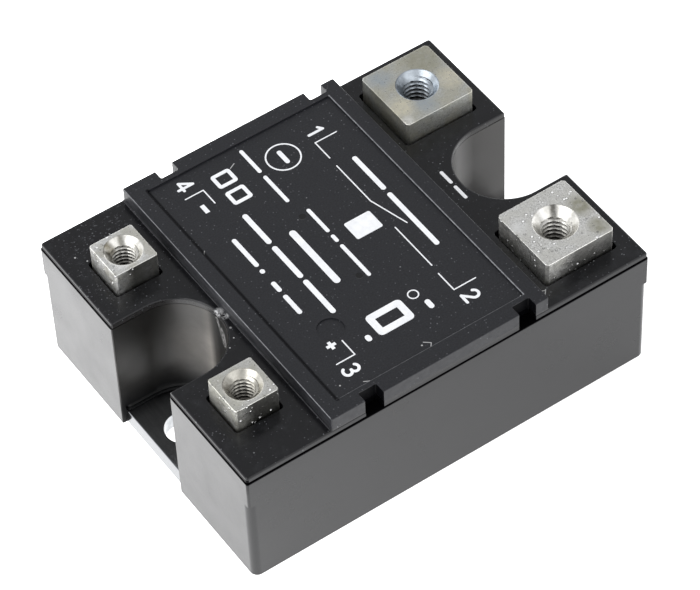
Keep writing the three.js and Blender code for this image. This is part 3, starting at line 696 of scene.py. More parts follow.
def nickel(
        node, name, dark, light, rough, tarnish, front, grain,
        beads=0.0, mottle=0.6, stain=0.55, spots=()):
    """Plated brass: a stony grain, pits, patches of tarnish and small clear beads of dried lacquer, each with a
    painted highlight at its core and a painted dark ring round it.

    front is how much of its brightness the side towards -Y keeps under painted shade."""
    low, high = cad_box(node)
    n = Nodes(name)
    sides = n.below(n.axis("Z"), high.z - 0.14, high.z - 0.10)
    front_shade = n.scaled(n.below(n.axis("Y"), low.y + 0.02, low.y + 0.08), sides)
    fine = n.noise(grain, 4.0, 0.8)
    patches = n.patchy(2.4, 3.0, 0.55, (0.42, 0.0), (0.58, mottle))
    colour = n.mix(patches, n.ramp(fine, (0.36, dark), (0.64, light)), tarnish)
    edge = n.patchy(0.8, 4.0, 0.7, (0.35, 0.45), (0.6, 1.0))
    for centre, radius, tint in spots:
        colour = n.mix(n.scaled(n.dot((*centre, high.z), radius, 0.35), edge), colour, tint)
    stains = n.patchy(1.1, 5.0, 0.7, (0.50, 0.0), (0.70, stain))
    # Painted shade on the side towards -Y, strongest from its middle towards +X.
    along = n.ramp(
        n.above(n.axis("X"), low.x, high.x), (0.12, 0.0), (0.42, 1.0 - front), (1.0, 0.85 * (1.0 - front)))
    pits = n.ramp(n.cells(0.62).outputs["Distance"], (0.10, 1.0), (0.17, 0.0))
    colour = n.coat(
        colour, (n.scaled(stains, sides), dimmed(dark, 0.30)), (n.scaled(front_shade, along), dimmed(dark, 0.12)),
        (n.scaled(pits, 0.55), dimmed(dark, 0.35)))
    bumps = [(fine, 0.55, 0.03), (n.noise(1.1, 2.0), 0.25, 0.06), (pits, -0.4, 0.03)]
    metallic = 1.0
    if beads:
        lacquer = n.cells(0.80)
        gap = lacquer.outputs["Distance"]
        start = 0.62 - 0.3 * beads
        where = n.scaled(
            n.ramp(lacquer.outputs["Color"], (0.7, 1.0), (0.72, 0.0)),
            n.patchy(2.2, 2.0, 0.55, (start, 0.0), (start + 0.04, 1.0)))
        # Painted highlight at each bead's core and a painted dark ring round it.
        rim = n.scaled(n.ramp(gap, (0.16, 0.0), (0.22, 0.7), (0.28, 0.5), (0.33, 0.0)), where)
        bead_glint = n.scaled(n.ramp(gap, (0.12, 1.0), (0.20, 0.0)), where)
        colour = n.coat(colour, (rim, dimmed(dark, 0.25)), (bead_glint, (0.92, 0.92, 0.92)))
        bumps.append((n.scaled(n.ramp(gap, (0.0, 1.0), (0.16, 0.7), (0.27, 0.0)), where), 0.8, 0.10))
        metallic = n.inverse(bead_glint)
    polish = n.math("ADD", n.remap(n.noise(0.5, 3.0), *rough), n.scaled(sides, 0.14))
    return n.surface(colour, polish, *bumps, Metallic=metallic)


# Painted shade deep in the threaded holes and in the thread's grooves.
BORE_DEPTH_SHADE = (0.03, 0.026, 0.022)
GROOVE_SHADE = (0.05, 0.045, 0.038)


def cut_thread(node, dark, light, streaks):
    """Freshly cut metal in a countersink and its thread: bright crests, grooves and a hole that darkens with
    depth as painted shade, and fine tool rings.

    Each streak down the countersink is (angle from +X in degrees, half width, colour). The streaks are painted
    reflections, dark bands and one bright band, and in part a dark golden tarnish on input_terminal_4."""
    minor_r, major_r, pitch, sink_r, _ = BORES[node]
    x, y, _, _, top = terminal_facts(node)
    throat_depth = sink_r - minor_r
    n = Nodes(node + "_thread")
    colour = n.ramp(n.noise(0.7, 3.0), (0.3, dark), (0.7, light))
    patchy = n.patchy(0.6, 4.0, 0.7, (0.3, 0.55), (0.6, 0.95))
    for degrees, width, tint in streaks:
        c, s = math.cos(math.radians(degrees)), math.sin(math.radians(degrees))
        rim = (x + sink_r * c, y + sink_r * s, top)
        throat = (x + minor_r * c, y + minor_r * s, top - throat_depth)
        colour = n.mix(n.scaled(n.line(rim, throat, width, 0.3), patchy), colour, tint)
    below = n.math("SUBTRACT", top, n.axis("Z"))
    angle = n.math("ARCTAN2", n.math("SUBTRACT", n.axis("Y"), y), n.math("SUBTRACT", n.axis("X"), x))
    turns = n.math("ADD", n.scaled(below, 1 / pitch), n.scaled(angle, 0.5 / math.pi))
    ridge = n.math("ABSOLUTE", n.math("SUBTRACT", n.scaled(n.math("FRACT", turns), 2.0), 1.0))
    flank = n.above(ridge, CREST, ROOT)
    cut = n.math("ADD", n.scaled(flank, major_r - minor_r), n.math("ADD", below, -throat_depth))
    in_thread = n.above(cut, 0.02, 0.10)
    fade = n.remap(below, 0.25, 0.85, throat_depth, throat_depth + 2.0)
    # Painted shade in the thread's grooves and deeper down the hole.
    groove = n.scaled(n.above(ridge, 0.30, 0.75), in_thread, fade)
    depth_shade = n.scaled(n.remap(below, 0.0, 0.85, throat_depth + 0.6, throat_depth + 3.2), in_thread)
    return n.surface(
        n.coat(colour, (groove, GROOVE_SHADE), (depth_shade, BORE_DEPTH_SHADE)),
        n.remap(n.noise(0.4, 3.0), 0.26, 0.36),
        (n.noise(0.5, 3.0, 0.6, (1.0, 1.0, 6.0)), 0.12, 0.02), (n.noise(0.2, 2.0), 0.04, 0.01), Metallic=1.0)


# Share of the dark tone that painted shade leaves on the plate's ends.
END_SHADE_SHARE = 0.55


def metal(name, dark, light, rough, grain, bump, stretch=None, edge_x=None):
    """Bare or plated metal: uneven tone and polish, a grain that may run one way, maybe ends darkened as
    painted shade.
    """
    n = Nodes(name)
    colour = n.ramp(n.noise(grain * 6, 4.0, stretch=stretch), (0.3, dark), (0.7, light))
    if edge_x:
        # Painted shade on both ends beyond edge_x.
        end_shade = n.above(n.off_axis("X"), edge_x - 0.06, edge_x - 0.02)
        colour = n.mix(end_shade, colour, dimmed(dark, END_SHADE_SHARE))
    return n.surface(
        colour, n.remap(n.noise(grain * 3, 3.0), *rough),
        (n.noise(grain, 4.0, 0.7, stretch), bump, 0.03), (n.noise(grain * 5, 2.0), bump * 0.5, 0.05),
        Metallic=1.0)


def dielectric(name, dark, light, rough, grain, bump, coarse=4.0):
    """Any other moulded, fired, cast or printed surface."""
    n = Nodes(name)
    return n.surface(
        n.ramp(n.noise(coarse, 4.0), (0.3, dark), (0.7, light)), n.remap(n.noise(grain * 4, 3.0), *rough),
        (n.noise(grain, 3.0), bump, 0.03), (n.noise(grain * 8, 2.0), 0.12, 0.06))


def board_material():
    """Green solder resist over tracks that show as a faint raised pattern."""
    n = Nodes("solder_resist")
    tracks = n.ramp(n.cells(3.2, "DISTANCE_TO_EDGE").outputs["Distance"], (0.06, 1.0), (0.09, 0.0))
    resist = n.ramp(n.noise(6.0, 3.0), (0.3, (0.018, 0.11, 0.05)), (0.7, (0.028, 0.15, 0.07)))
    return n.surface(
        n.mix(tracks, resist, (0.05, 0.24, 0.11)), n.remap(n.noise(0.8), 0.3, 0.5),
        (tracks, 0.5, 0.04), (n.noise(0.3), 0.15, 0.02))


LACQUER = (0.36, 0.46, 0.50)
BANDS = (
    (0.14, (0.10, 0.03, 0.01)), (0.3, (0.01, 0.01, 0.01)),
    (0.46, (0.35, 0.02, 0.015)), (0.78, (0.42, 0.26, 0.06)))


def banded_resistor(name, low, high, axis):
    """Pale lacquer with four colour bands across the body's length."""
    n = Nodes(name)
    stops = [(0.0, LACQUER)]
    for start, band in BANDS:
        stops += [(start, LACQUER), (start + 0.01, band), (start + 0.075, band), (start + 0.085, LACQUER)]
    stops.append((1.0, LACQUER))
    wear_and_sheen_patches = n.patchy(1.2, 4.0, 0.55, (0.35, 0.0), (0.75, 0.25))
    return n.surface(
        n.mix(wear_and_sheen_patches, n.ramp(n.above(n.axis(axis), low, high), *stops), (0.22, 0.27, 0.29)),
        n.remap(n.noise(0.7), 0.25, 0.45), (n.noise(0.3), 0.2, 0.03), (n.noise(2.0), 0.2, 0.06))


OLIVE, STRAW, SLATE = (0.40, 0.39, 0.31), (0.74, 0.70, 0.56), (0.44, 0.48, 0.50)
PLATING = {
    "output_terminal_1": dict(
        name="tarnished_nickel", dark=(0.42, 0.42, 0.38), light=(0.64, 0.65, 0.62), rough=(0.26, 0.38),
        tarnish=(0.50, 0.47, 0.35), front=1.0, grain=0.24, mottle=0.45, stain=0.25, spots=(
            ((17.1, 12.0), 2.3, STRAW), ((17.9, 17.4), 2.0, SLATE), ((24.0, 17.2), 3.4, OLIVE),
            ((24.9, 12.6), 2.2, STRAW), ((20.0, 10.8), 2.0, SLATE), ((16.5, 9.7), 1.1, (0.85, 0.84, 0.79)))),
    "output_terminal_2": dict(
        name="stony_nickel", dark=(0.46, 0.455, 0.43), light=(1.0, 0.995, 0.97), rough=(0.26, 0.40),
        tarnish=(0.70, 0.69, 0.64), front=0.22, grain=0.20, beads=0.52, spots=(
            ((24.9, -13.6), 2.1, OLIVE), ((24.8, -17.4), 1.7, OLIVE),
            ((16.9, -12.2), 1.4, (0.9, 0.9, 0.88)))),
    "input_terminal_3": dict(
        name="beaded_nickel", dark=(0.50, 0.495, 0.46), light=(0.78, 0.775, 0.74), rough=(0.26, 0.38),
        tarnish=(0.55, 0.54, 0.46), front=0.12, grain=0.20, beads=0.60),
    "input_terminal_4": dict(
        name="bright_nickel", dark=(0.64, 0.635, 0.61), light=(0.92, 0.92, 0.90), rough=(0.24, 0.36),
        tarnish=(0.56, 0.54, 0.46), front=0.2, grain=0.24, beads=0.45),
}
PALE, WHITE = (0.56, 0.55, 0.51), (0.80, 0.785, 0.745)
# Each countersink's dark and light tone, then its streaks: painted reflections, and in part tarnish.
CUTS = {
    "output_terminal_1": (
        (0.34, 0.375, 0.41), (0.50, 0.55, 0.60), ((143.0, 1.7, (0.07, 0.078, 0.085)),)),
    "output_terminal_2": (PALE, WHITE, ((60.0, 0.55, (0.09, 0.085, 0.075)), (96.0, 0.6, (0.9, 0.89, 0.86)))),
    "input_terminal_3": ((0.42, 0.405, 0.36), (0.60, 0.585, 0.53), ((145.0, 1.4, (0.17, 0.16, 0.14)),)),
    "input_terminal_4": (PALE, WHITE, (
        (125.0, 0.9, (0.20, 0.175, 0.12)), (150.0, 0.7, (0.06, 0.055, 0.04)),
        (68.0, 0.5, (0.26, 0.25, 0.22)))),
}
PLATE_METAL = metal(
    "milled_plate", (0.33, 0.34, 0.355), (0.46, 0.47, 0.48), (0.12, 0.22), 0.10, 0.12,
    (1.0, 0.12, 1.0), plate_high.x)
TIN = metal("tinned_copper_strip", (0.62, 0.55, 0.48), (0.76, 0.71, 0.66), (0.25, 0.42), 0.12, 0.3)
COPPER = metal("bonded_copper", (0.62, 0.33, 0.22), (0.76, 0.44, 0.31), (0.3, 0.48), 0.10, 0.3)
SILICON = dielectric("silicon_die", (0.10, 0.105, 0.12), (0.16, 0.165, 0.19), (0.12, 0.22), 0.1, 0.08, 2.0)
CERAMIC = dielectric("fired_alumina", (0.70, 0.69, 0.65), (0.80, 0.79, 0.76), (0.45, 0.6), 0.12, 0.2)
MOULDING = dielectric("component_epoxy", (0.01, 0.01, 0.011), (0.018, 0.018, 0.019), (0.4, 0.55), 0.08, 0.35)
CAPACITOR = dielectric("capacitor_epoxy", (0.02, 0.075, 0.22), (0.03, 0.10, 0.28), (0.25, 0.4), 0.3, 0.15)
RUBBER = dielectric("cured_silicone", (0.003, 0.003, 0.003), (0.007, 0.007, 0.007), (0.6, 0.8), 0.25, 0.2)
GEL = dielectric("silicone_gel", (0.48, 0.50, 0.49), (0.58, 0.60, 0.59), (0.12, 0.22), 1.5, 0.1)
RESIN = dielectric("cast_resin", (0.009, 0.009, 0.009), (0.015, 0.015, 0.015), (0.2, 0.34), 1.2, 0.25)
INK = dielectric("pad_print_ink", (0.80, 0.81, 0.83), (0.90, 0.91, 0.93), (0.5, 0.7), 0.08, 0.25, 0.8)


# --- Housing: a wall lofted up the outside, over the top and down the inside, and four posts ---

def housing_wall():
    seat_l = plate_high.x + SEAT_CLEARANCE
    seat_w = plate_high.y + SEAT_CLEARANCE
    inner_r = NOTCH_R + NOTCH_WALL

    def ring(z, outer, notch, corner_r, mouth_r=MOUTH_R, half_l=HALF_L, half_w=HALF_W):
        """A ring of the wall; deep in the notches it stays above the base plate."""
        raised = LEDGE_Z + (z - CASE_BOTTOM) * 0.1 if z < LEDGE_Z else z
        path = notched_path(half_l - outer, half_w - outer, notch, corner_r, mouth_r)
        return [(x, y, raised if deep else z) for x, y, deep in path]

    rings = []
    for inward, upward in quarter_turns(5):
        inset = FOOT_R * (1 - upward)
        notch = NOTCH_R + NOTCH_DRAFT + inset * 0.3
        rings.append(ring(CASE_BOTTOM + FOOT_R * inward, DRAFT + inset, notch, LOWER_CORNER_R))
    for z in WALL_LEVELS:
        share = 1 - (z - CASE_BOTTOM) / (CASE_TOP - CASE_BOTTOM)
        corner_r = LOWER_CORNER_R if z < CORNER_STEP_Z else UPPER_CORNER_R
        rings.append(ring(z, DRAFT * share, NOTCH_R + NOTCH_DRAFT * share, corner_r))
    rings.append(ring(CASE_TOP - 0.02, 0.02, NOTCH_R + 0.02, UPPER_CORNER_R))
    rings.append(ring(CASE_TOP, TOP_CHAMFER, NOTCH_R + TOP_CHAMFER, UPPER_CORNER_R))
    rings.append(ring(CASE_TOP, WALL, inner_r, INNER_CORNER_R, INNER_MOUTH_R))
    rings.append(ring(LEDGE_Z, WALL, inner_r, INNER_CORNER_R, INNER_MOUTH_R))
    rings.append(ring(LEDGE_Z - 0.001, 0, inner_r, SEAT_CORNER_R, 0.02, seat_l, seat_w))
    rings.append(ring(CASE_BOTTOM, 0, inner_r, SEAT_CORNER_R, 0.02, seat_l, seat_w))
    return loft(rings, tube=True)


def housing_mesh():
    """The wall with the four posts inside it that carry the terminals, let a little way into it."""
    posts = []
    low_y, high_y = NOTCH_R + NOTCH_WALL - POST_SINK, HALF_W - WALL + POST_SINK
    end_x = HALF_L - WALL + POST_SINK
    for side in (-1, 1):
        y0, y1 = sorted((side * low_y, side * high_y))
        for x0, x1, top in ((-end_x, POST_INPUT_X, POST_INPUT_TOP), (POST_OUTPUT_X, end_x, POST_OUTPUT_TOP)):
            posts.append(prism(rounded_rect(x0, x1, y0, y1, POST_CORNER_R), LEDGE_Z, top))
    return carve(housing_wall(), joined=posts)


piece("housing_shell", housing_mesh(), [case_plastic()], ["housing"])


# --- Base plate and its bead of adhesive ---

def plate_mesh():
    outline = rounded_rect(plate_low.x, plate_high.x, plate_low.y, plate_high.y, PLATE_CORNER_R)
    long_hole = arc(HOLE_X + HOLE_REACH, 0, HOLE_R, -90, 90, 32)
    long_hole += arc(HOLE_X - HOLE_REACH, 0, HOLE_R, 90, 270, 32)
    holes = [prism(hole, -1, PLATE_TOP + 1) for hole in (circle(-HOLE_X, 0, HOLE_R), long_hole)]

    def width(middle, direction, convex):
        if abs(direction.z) > 0.5:
            return 0.0
        near_hole = math.hypot(abs(middle.x) - HOLE_X, middle.y) < HOLE_R + 1
        return HOLE_EDGE if near_hole else PLATE_EDGE

    return round_edges(carve(prism(outline, 0, PLATE_TOP), cut=holes), width)


def seal_mesh():
    """A bead squeezed between the plate and the housing's ledge."""
    middle_z = (PLATE_TOP + LEDGE_Z) / 2
    half_h = (LEDGE_Z - PLATE_TOP) / 2
    rings = []
    for i in range(12):
        angle = 2 * math.pi * i / 12
        inset = BEAD_INSET + BEAD_HALF_WIDTH * math.cos(angle)
        z = middle_z + half_h * max(-1.0, min(1.0, BEAD_SQUASH * math.sin(angle)))
        notch = NOTCH_R + inset - 0.18
        outline = notched_outline(plate_high.x - inset, plate_high.y - inset, notch, 1.0, 0.5)
        rings.append([(x, y, z) for x, y in outline])
    return loft(rings, tube=True)


piece("base_plate_milled", plate_mesh(), [PLATE_METAL], ["base_plate"])
piece("base_seal_bead", seal_mesh(), [RUBBER], ["base_seal"], 60)


# --- Cover ---

def flange_mesh():
    """The cover's plate, with its top edge rounded; it reaches lower round the notches."""
    def ring(z, inset):
        path = notched_path(
            FLANGE_HALF_L - inset, FLANGE_HALF_W - inset, NOTCH_R + inset, UPPER_CORNER_R, MOUTH_R)
        return [(x, y, LIP_Z if deep and z == FLANGE_BOTTOM else z) for x, y, deep in path]

    rings = [ring(FLANGE_BOTTOM, 0.0)]
    for inward, upward in quarter_turns(6):
        rings.append(ring(DECK_TOP - FLANGE_ROUND * (1 - upward), FLANGE_ROUND * inward))
    return loft(rings)


def block_mesh(x0, x1, half_w, bottom, top, fillet=0.0):
    """A raised block with rounded top edges and, above the deck, a fillet at the foot of its risers."""
    def ring(z, inset, flare=0.0):
        outline = rounded_rect(
            x0 + inset - flare, x1 - inset + flare, inset - half_w, half_w - inset, BLOCK_CORNER_R, 3)
        return [(x, y, z) for x, y in outline]

    rings = [ring(bottom, 0.0, fillet)]
    if fillet:
        for inward, upward in quarter_turns(5):
            rings.append(ring(DECK_TOP - 0.01 + fillet * inward, 0.0, fillet * (1 - upward)))
    for inward, upward in quarter_turns(4):
        rings.append(ring(top - BLOCK_ROUND * (1 - upward), BLOCK_ROUND * inward))
    return loft(rings)


def cover_cuts():
    """What is cut from the cover: panel, hollow, gate mark, four corner slots and four terminal windows."""
    above = BLOCK_TOP + 1
    hollow_y = SLOT_Y - COVER_WALL
    hollow = rounded_rect(
        BLOCK_X[0] + COVER_WALL, BLOCK_X[1] - COVER_WALL, -hollow_y, hollow_y, HOLLOW_CORNER_R)
    cuts = [
        prism(rounded_rect(*PANEL_X, -PANEL_HALF_W, PANEL_HALF_W, PANEL_CORNER_R, 3), PANEL_Z, above),
        prism(hollow, COVER_BOTTOM - 1, BLOCK_TOP - COVER_WALL),
        prism(circle(GATE_X, GATE_Y, GATE_R), PANEL_Z - GATE_DEPTH, above)]
    for side in (-1, 1):
        y0, y1 = sorted((side * SLOT_Y, side * (HALF_W + 1)))
        for x in (-SLOT_X, SLOT_X):
            outline = rounded_rect(x - SLOT_WIDTH / 2, x + SLOT_WIDTH / 2, y0, y1, SLOT_CORNER_R, 3)
            cuts.append(prism(outline, CASE_TOP, above))
    for x, y, reach in WINDOWS:
        outline = rounded_rect(x - reach, x + reach, y - reach, y + reach, WINDOW_CORNER_R, 4)
        cuts.append(prism(outline, COVER_BOTTOM - 1, DECK_TOP + 1))
    return cuts


def cover_edge_width(middle, direction, convex):
    """Narrow rounding along the slots, the panel's rim and the terminal windows."""
    level = abs(direction.z) < 0.5
    if not convex or middle.z < DECK_TOP - 0.05:
        return 0.0
    in_window = any(max(abs(middle.x - x), abs(middle.y - y)) < reach + 0.05 for x, y, reach in WINDOWS)
    if level and abs(middle.z - DECK_TOP) < 0.02 and in_window:
        return WINDOW_EDGE
    near_slot = abs(abs(middle.x) - SLOT_X) < SLOT_WIDTH / 2 + 0.05 and abs(middle.y) > SLOT_Y - 0.1
    if middle.z > DECK_TOP + 0.3 and near_slot:
        return TOP_EDGE
    in_panel = PANEL_X[0] - 0.1 < middle.x < PANEL_X[1] + 0.1 and abs(middle.y) < PANEL_HALF_W + 0.1
    return TOP_EDGE if level and abs(middle.z - BLOCK_TOP) < 0.02 and in_panel else 0.0


def cover_mesh():
    plug = notched_outline(
        HALF_L - PLUG_FIT, HALF_W - PLUG_FIT, NOTCH_R + PLUG_NOTCH, INNER_CORNER_R, INNER_MOUTH_R)
    tab_x = SLOT_X + SLOT_WIDTH / 4
    joined = [
        prism(plug, COVER_BOTTOM, DECK_TOP - 0.1),
        block_mesh(*BLOCK_X, BLOCK_HALF_W, FLANGE_BOTTOM + 0.1, BLOCK_TOP, RISER_FILLET),
        block_mesh(-tab_x, tab_x, TAB_HALF_W, TAB_BOTTOM, BLOCK_TOP - 0.004)]
    return round_edges(carve(flange_mesh(), joined, cover_cuts()), cover_edge_width)


piece("cover_moulding", cover_mesh(), [cover_plastic()], ["cover"])


# --- Terminals: square blocks with a countersunk, threaded hole ---

TERMINAL_POINTS = 96
CORNER_R = 0.22
TOP_BEVEL = 0.09
SINK_LIP = 0.05
BORE_START, BORE_END, DRILL_TIP = 0.12, 0.05, 0.3
TURN_STEPS = 12


def terminal_angles():
    return [2 * math.pi * (i + 0.5) / TERMINAL_POINTS for i in range(TERMINAL_POINTS)]


def square_ring(x, y, half, radius, z):
    """A rounded square with its points spread by angle, starting at the middle of the +X side."""
    points = []
    limit = half - radius
    for angle in terminal_angles():
        c, s = math.cos(angle), math.sin(angle)
        reach = half / max(abs(c), abs(s))
        px, py = reach * c, reach * s
        if abs(px) > limit and abs(py) > limit:
            corner = Vector((math.copysign(limit, px), math.copysign(limit, py)))
            away = (Vector((px, py)) - corner).normalized() * radius
            px, py = corner.x + away.x, corner.y + away.y
        points.append((x + px, y + py, z))
    return points


def round_ring(x, y, radius, z):
    """A circle, or a wavy ring where the radius is a function of the angle and the height."""
    points = []
    for angle in terminal_angles():
        r = radius(angle, z) if callable(radius) else radius
        points.append((x + r * math.cos(angle), y + r * math.sin(angle), z))
    return points


def terminal_mesh(node):
    """A block lofted up its sides, over the top and down its threaded hole, whose faces have material 1."""
    minor_r, major_r, pitch, sink_r, depth = BORES[node]
    x, y, half, bottom, top = terminal_facts(node)

    def bore(angle, z):
        """The wider of the thread, cut as a helix with flat crests and roots, and the countersink."""
        turn = ((top - z) / pitch + angle / (2 * math.pi)) % 1.0
        flank = min(1.0, max(0.0, (abs(2 * turn - 1) - CREST) / (ROOT - CREST)))
        return max(minor_r + (major_r - minor_r) * flank, sink_r - (top - z))

    rings = [
        square_ring(x, y, half - 0.1, CORNER_R, bottom), square_ring(x, y, half, CORNER_R, bottom + 0.1),
        square_ring(x, y, half, CORNER_R, (top + bottom) / 2)]
    for inward, upward in quarter_turns(4):
        inset = TOP_BEVEL * inward
        rings.append(square_ring(x, y, half - inset, CORNER_R - inset * 0.5, top - TOP_BEVEL * (1 - upward)))
    outer_faces = len(rings) * TERMINAL_POINTS
    rings.append(round_ring(x, y, sink_r + SINK_LIP, top))
    rings.append(round_ring(x, y, sink_r + SINK_LIP * 0.3, top - SINK_LIP * 0.3))
    rings.append(round_ring(x, y, sink_r - SINK_LIP, top - SINK_LIP))
    step = pitch / TURN_STEPS
    z = top - BORE_START
    while z > top - depth + step:
        rings.append(round_ring(x, y, bore, z))
        z -= step
    rings.append(round_ring(x, y, minor_r, top - depth + BORE_END))
    rings.append(round_ring(x, y, minor_r - DRILL_TIP, top - depth))
    mesh = loft(rings)
    for face in mesh.polygons:
        if face.index >= outer_faces and face.center.z / MM > bottom + 0.05:
            face.material_index = 1
    return mesh


for node in BORES:
    materials = [nickel(node, **PLATING[node]), cut_thread(node, *CUTS[node])]
    piece(node + "_block", terminal_mesh(node), materials, [node], 35)


# --- Printed marks: plain shapes and numerals, as thin layers of ink ---

INK_HEIGHT = 0.015
INK_SINK = 0.01
INK_STEP = 0.0015
SHARP_BEND = 60.0
PRINT_OFFSET = (0.17, 0.24)


def heading(vector):
    return math.degrees(math.atan2(vector.y, vector.x))


def ribbon(points, width, rounded=True):
    """The outline of a line of the given width as one closed shape, rounded outside its sharp bends."""
    half = width / 2
    places = [Vector(point) for point in points]
    steps = [(b - a).normalized() for a, b in zip(places, places[1:])]
    left, right = [], []
    for i, place in enumerate(places):
        before, after = steps[max(i - 1, 0)], steps[min(i, len(steps) - 1)]
        along = (before + after).normalized()
        inner = Vector((-along.y, along.x)) * half / max(0.2, along.dot(after))
        turn = math.degrees(before.angle_signed(after))
        spread = abs(turn) / 2
        middle = heading(along)
        if turn >= SHARP_BEND:
            left += arc(*place, half, middle + 90 + spread, middle + 90 - spread, 8)
        else:
            left.append(tuple(place + inner))
        if turn <= -SHARP_BEND:
            right += arc(*place, half, middle - 90 - spread, middle - 90 + spread, 8)
        else:
            right.append(tuple(place - inner))
    if rounded:
        out, back = heading(steps[-1]), heading(-steps[0])
        right = [*right[1:-1], *arc(*places[-1], half, out - 90, out + 90, 10)]
        left = [*arc(*places[0], half, back + 90, back - 90, 10), *left[1:-1]]
    return [*right, *reversed(left)]


def bar(x, y_from, y_to, width):
    """A plain bar with round ends, in place of a printed word."""
    half = width / 2
    low, high = sorted((y_from, y_to))
    return arc(x, high - half, half, 0, 180, 10) + arc(x, low + half, half, 180, 360, 10)


def band(outer, inner):
    """What lies between two outlines, as a run of short plates."""
    n = len(outer)
    return [[outer[i], outer[(i + 1) % n], inner[(i + 1) % n], inner[i]] for i in range(n)]


def hoop(cx, cy, radius, width, steps=40):
    return band(circle(cx, cy, radius, steps), circle(cx, cy, radius - width, steps))


def open_box(cx, cy, half_x, half_y, radius, width):
    """The outline of a rounded rectangle."""
    def outline(inset):
        x, y = half_x - inset, half_y - inset
        return rounded_rect(cx - x, cx + x, cy - y, cy + y, max(radius - inset, 0.05), 5)

    return band(outline(0.0), outline(width))


def ink_piece(name, shapes, level=PANEL_Z):
    """Layers of ink, one closed plate for each shape; overlapping ones differ slightly in height."""
    verts, faces = [], []
    dx, dy = PRINT_OFFSET if level == PANEL_Z else (0.0, 0.0)
    for i, shape in enumerate(shapes):
        base, n = len(verts), len(shape)
        for z in (level - INK_SINK, level + INK_HEIGHT + INK_STEP * (i % 9)):
            verts += [(x + dx, y + dy, z) for x, y in shape]
        faces.append(tuple(base + n - 1 - j for j in range(n)))
        faces.append(tuple(base + n + j for j in range(n)))
        for j in range(n):
            k = (j + 1) % n
            faces.append((base + j, base + k, base + n + k, base + n + j))
    piece(name, mesh_from(verts, faces), [INK])


# Numerals: the place of a cell's middle, then strokes as (across, up) in the cell, which is one unit high.
NUMERALS = (
    (7.1, 15.9, [[(0.16, 0.78), (0.42, 0.98), (0.42, 0.0)]]),
    (6.85, -16.45, [arc(0.36, 0.70, 0.28, 165, -35, 12) + [(0.06, 0.02), (0.68, 0.02)]]),
    (-10.8, -17.4, [
        arc(0.33, 0.745, 0.26, 150, -90, 12, 0.245), arc(0.33, 0.255, 0.29, 90, -150, 12, 0.255)]),
    (-10.56, 17.94, [[(0.52, 0.0), (0.52, 0.98), (0.04, 0.27)], [(0.04, 0.27), (0.72, 0.27)]]),
)
NUMERAL_HEIGHT = 2.05
NUMERAL_STROKE = 0.37
CELL_U, CELL_V = 0.35, 0.5

numerals = []
for x, y, strokes in NUMERALS:
    for stroke in strokes:
        points = [
            (x + (v - CELL_V) * NUMERAL_HEIGHT, y - (u - CELL_U) * NUMERAL_HEIGHT) for u, v in stroke]
        numerals.append(ribbon(points, NUMERAL_STROKE))
ink_piece("print_numerals", numerals)

PLUS_X, PLUS_Y, PLUS_ARM, PLUS_STROKE = -10.6, -13.05, 0.62, 0.42
MINUS_X, MINUS_Y, MINUS_ARM, MINUS_STROKE = -10.65, 13.3, 0.7, 0.58
ink_piece("print_polarity", [
    ribbon([(PLUS_X - PLUS_ARM, PLUS_Y), (PLUS_X + PLUS_ARM, PLUS_Y)], PLUS_STROKE, False),
    ribbon([(PLUS_X, PLUS_Y - PLUS_ARM), (PLUS_X, PLUS_Y + PLUS_ARM)], PLUS_STROKE, False),
    ribbon([(MINUS_X, MINUS_Y + MINUS_ARM), (MINUS_X, MINUS_Y - MINUS_ARM)], MINUS_STROKE, False)])

LINE = 0.16
OUTPUT_ARM, INPUT_ARM = 3.1, -2.55
BRACKETS = (
    (6.0, 14.32, OUTPUT_ARM), (5.75, -14.6, OUTPUT_ARM),
    (-9.15, 15.95, INPUT_ARM), (-9.15, -15.75, INPUT_ARM))
ink_piece("print_terminal_brackets", [
    ribbon([(x + arm, y), (x, y), (x, y + math.copysign(arm, -y))], LINE) for x, y, arm in BRACKETS])
ink_piece("print_switch_symbol", [
    ribbon([(5.95, 9.65), (5.95, 2.6), (7.43, -2.8)], LINE), ribbon([(5.87, -2.6), (5.87, -10.0)], LINE)])

# Rows of bars in place of words: x, width, and where each bar begins and ends along y.
WORD_ROWS = (
    (8.4, 0.66, [(9.7, 3.1), (2.4, -7.8)]),
    (-0.85, 0.50, [(6.0, 1.5), (0.9, -0.4), (-1.0, -7.0)]),
    (-4.4, 0.90, [(4.3, -5.7)]),
    (-7.45, 0.70, [(9.8, 4.1), (3.5, -2.5), (-3.0, -9.2)]),
    (-10.65, 0.60, [(7.3, 2.0), (1.4, 0.7), (-1.0, -2.8), (-3.5, -7.0)]),
    (-2.0, 0.50, [(18.7, 14.2), (13.5, 8.3)]),
)
ink_piece("print_plain_bars", [bar(x, a, b, width) for x, width, words in WORD_ROWS for a, b in words])
ink_piece("print_plain_marks", [
    *open_box(-6.1, 16.0, 1.35, 1.2, 0.4, 0.5), *open_box(-6.1, 12.8, 1.35, 1.2, 0.4, 0.5),
    *hoop(1.6, 14.7, 2.25, 0.2), bar(1.6, 15.9, 13.5, 0.6), rounded_rect(1.2, 4.9, -1.55, 1.45, 0.25),
    *open_box(-2.7, -13.6, 2.5, 1.75, 0.6, 0.95), bar(-6.5, -14.2, -15.2, 0.7), bar(2.2, -13.9, -15.4, 0.7),
    *hoop(1.5, -12.35, 0.72, 0.16, 28)])
ink_piece("print_deck_bars", [bar(16.45, 3.0, 0.6, 0.45), bar(16.45, 0.1, -2.4, 0.45)], DECK_TOP)


# --- Inner pieces: CAD nodes with rounded edges and their own materials ---

def dress(node, material, edge=0.0):
    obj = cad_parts[node]
    obj.data.materials.clear()
    obj.data.materials.append(material)
    if edge:
        bevel = obj.modifiers.new("edges", "BEVEL")
        bevel.width = edge * MM
        bevel.segments = 2
        bevel.limit_method = "ANGLE"
        bevel.angle_limit = math.radians(50)
        weigh_normals(obj)


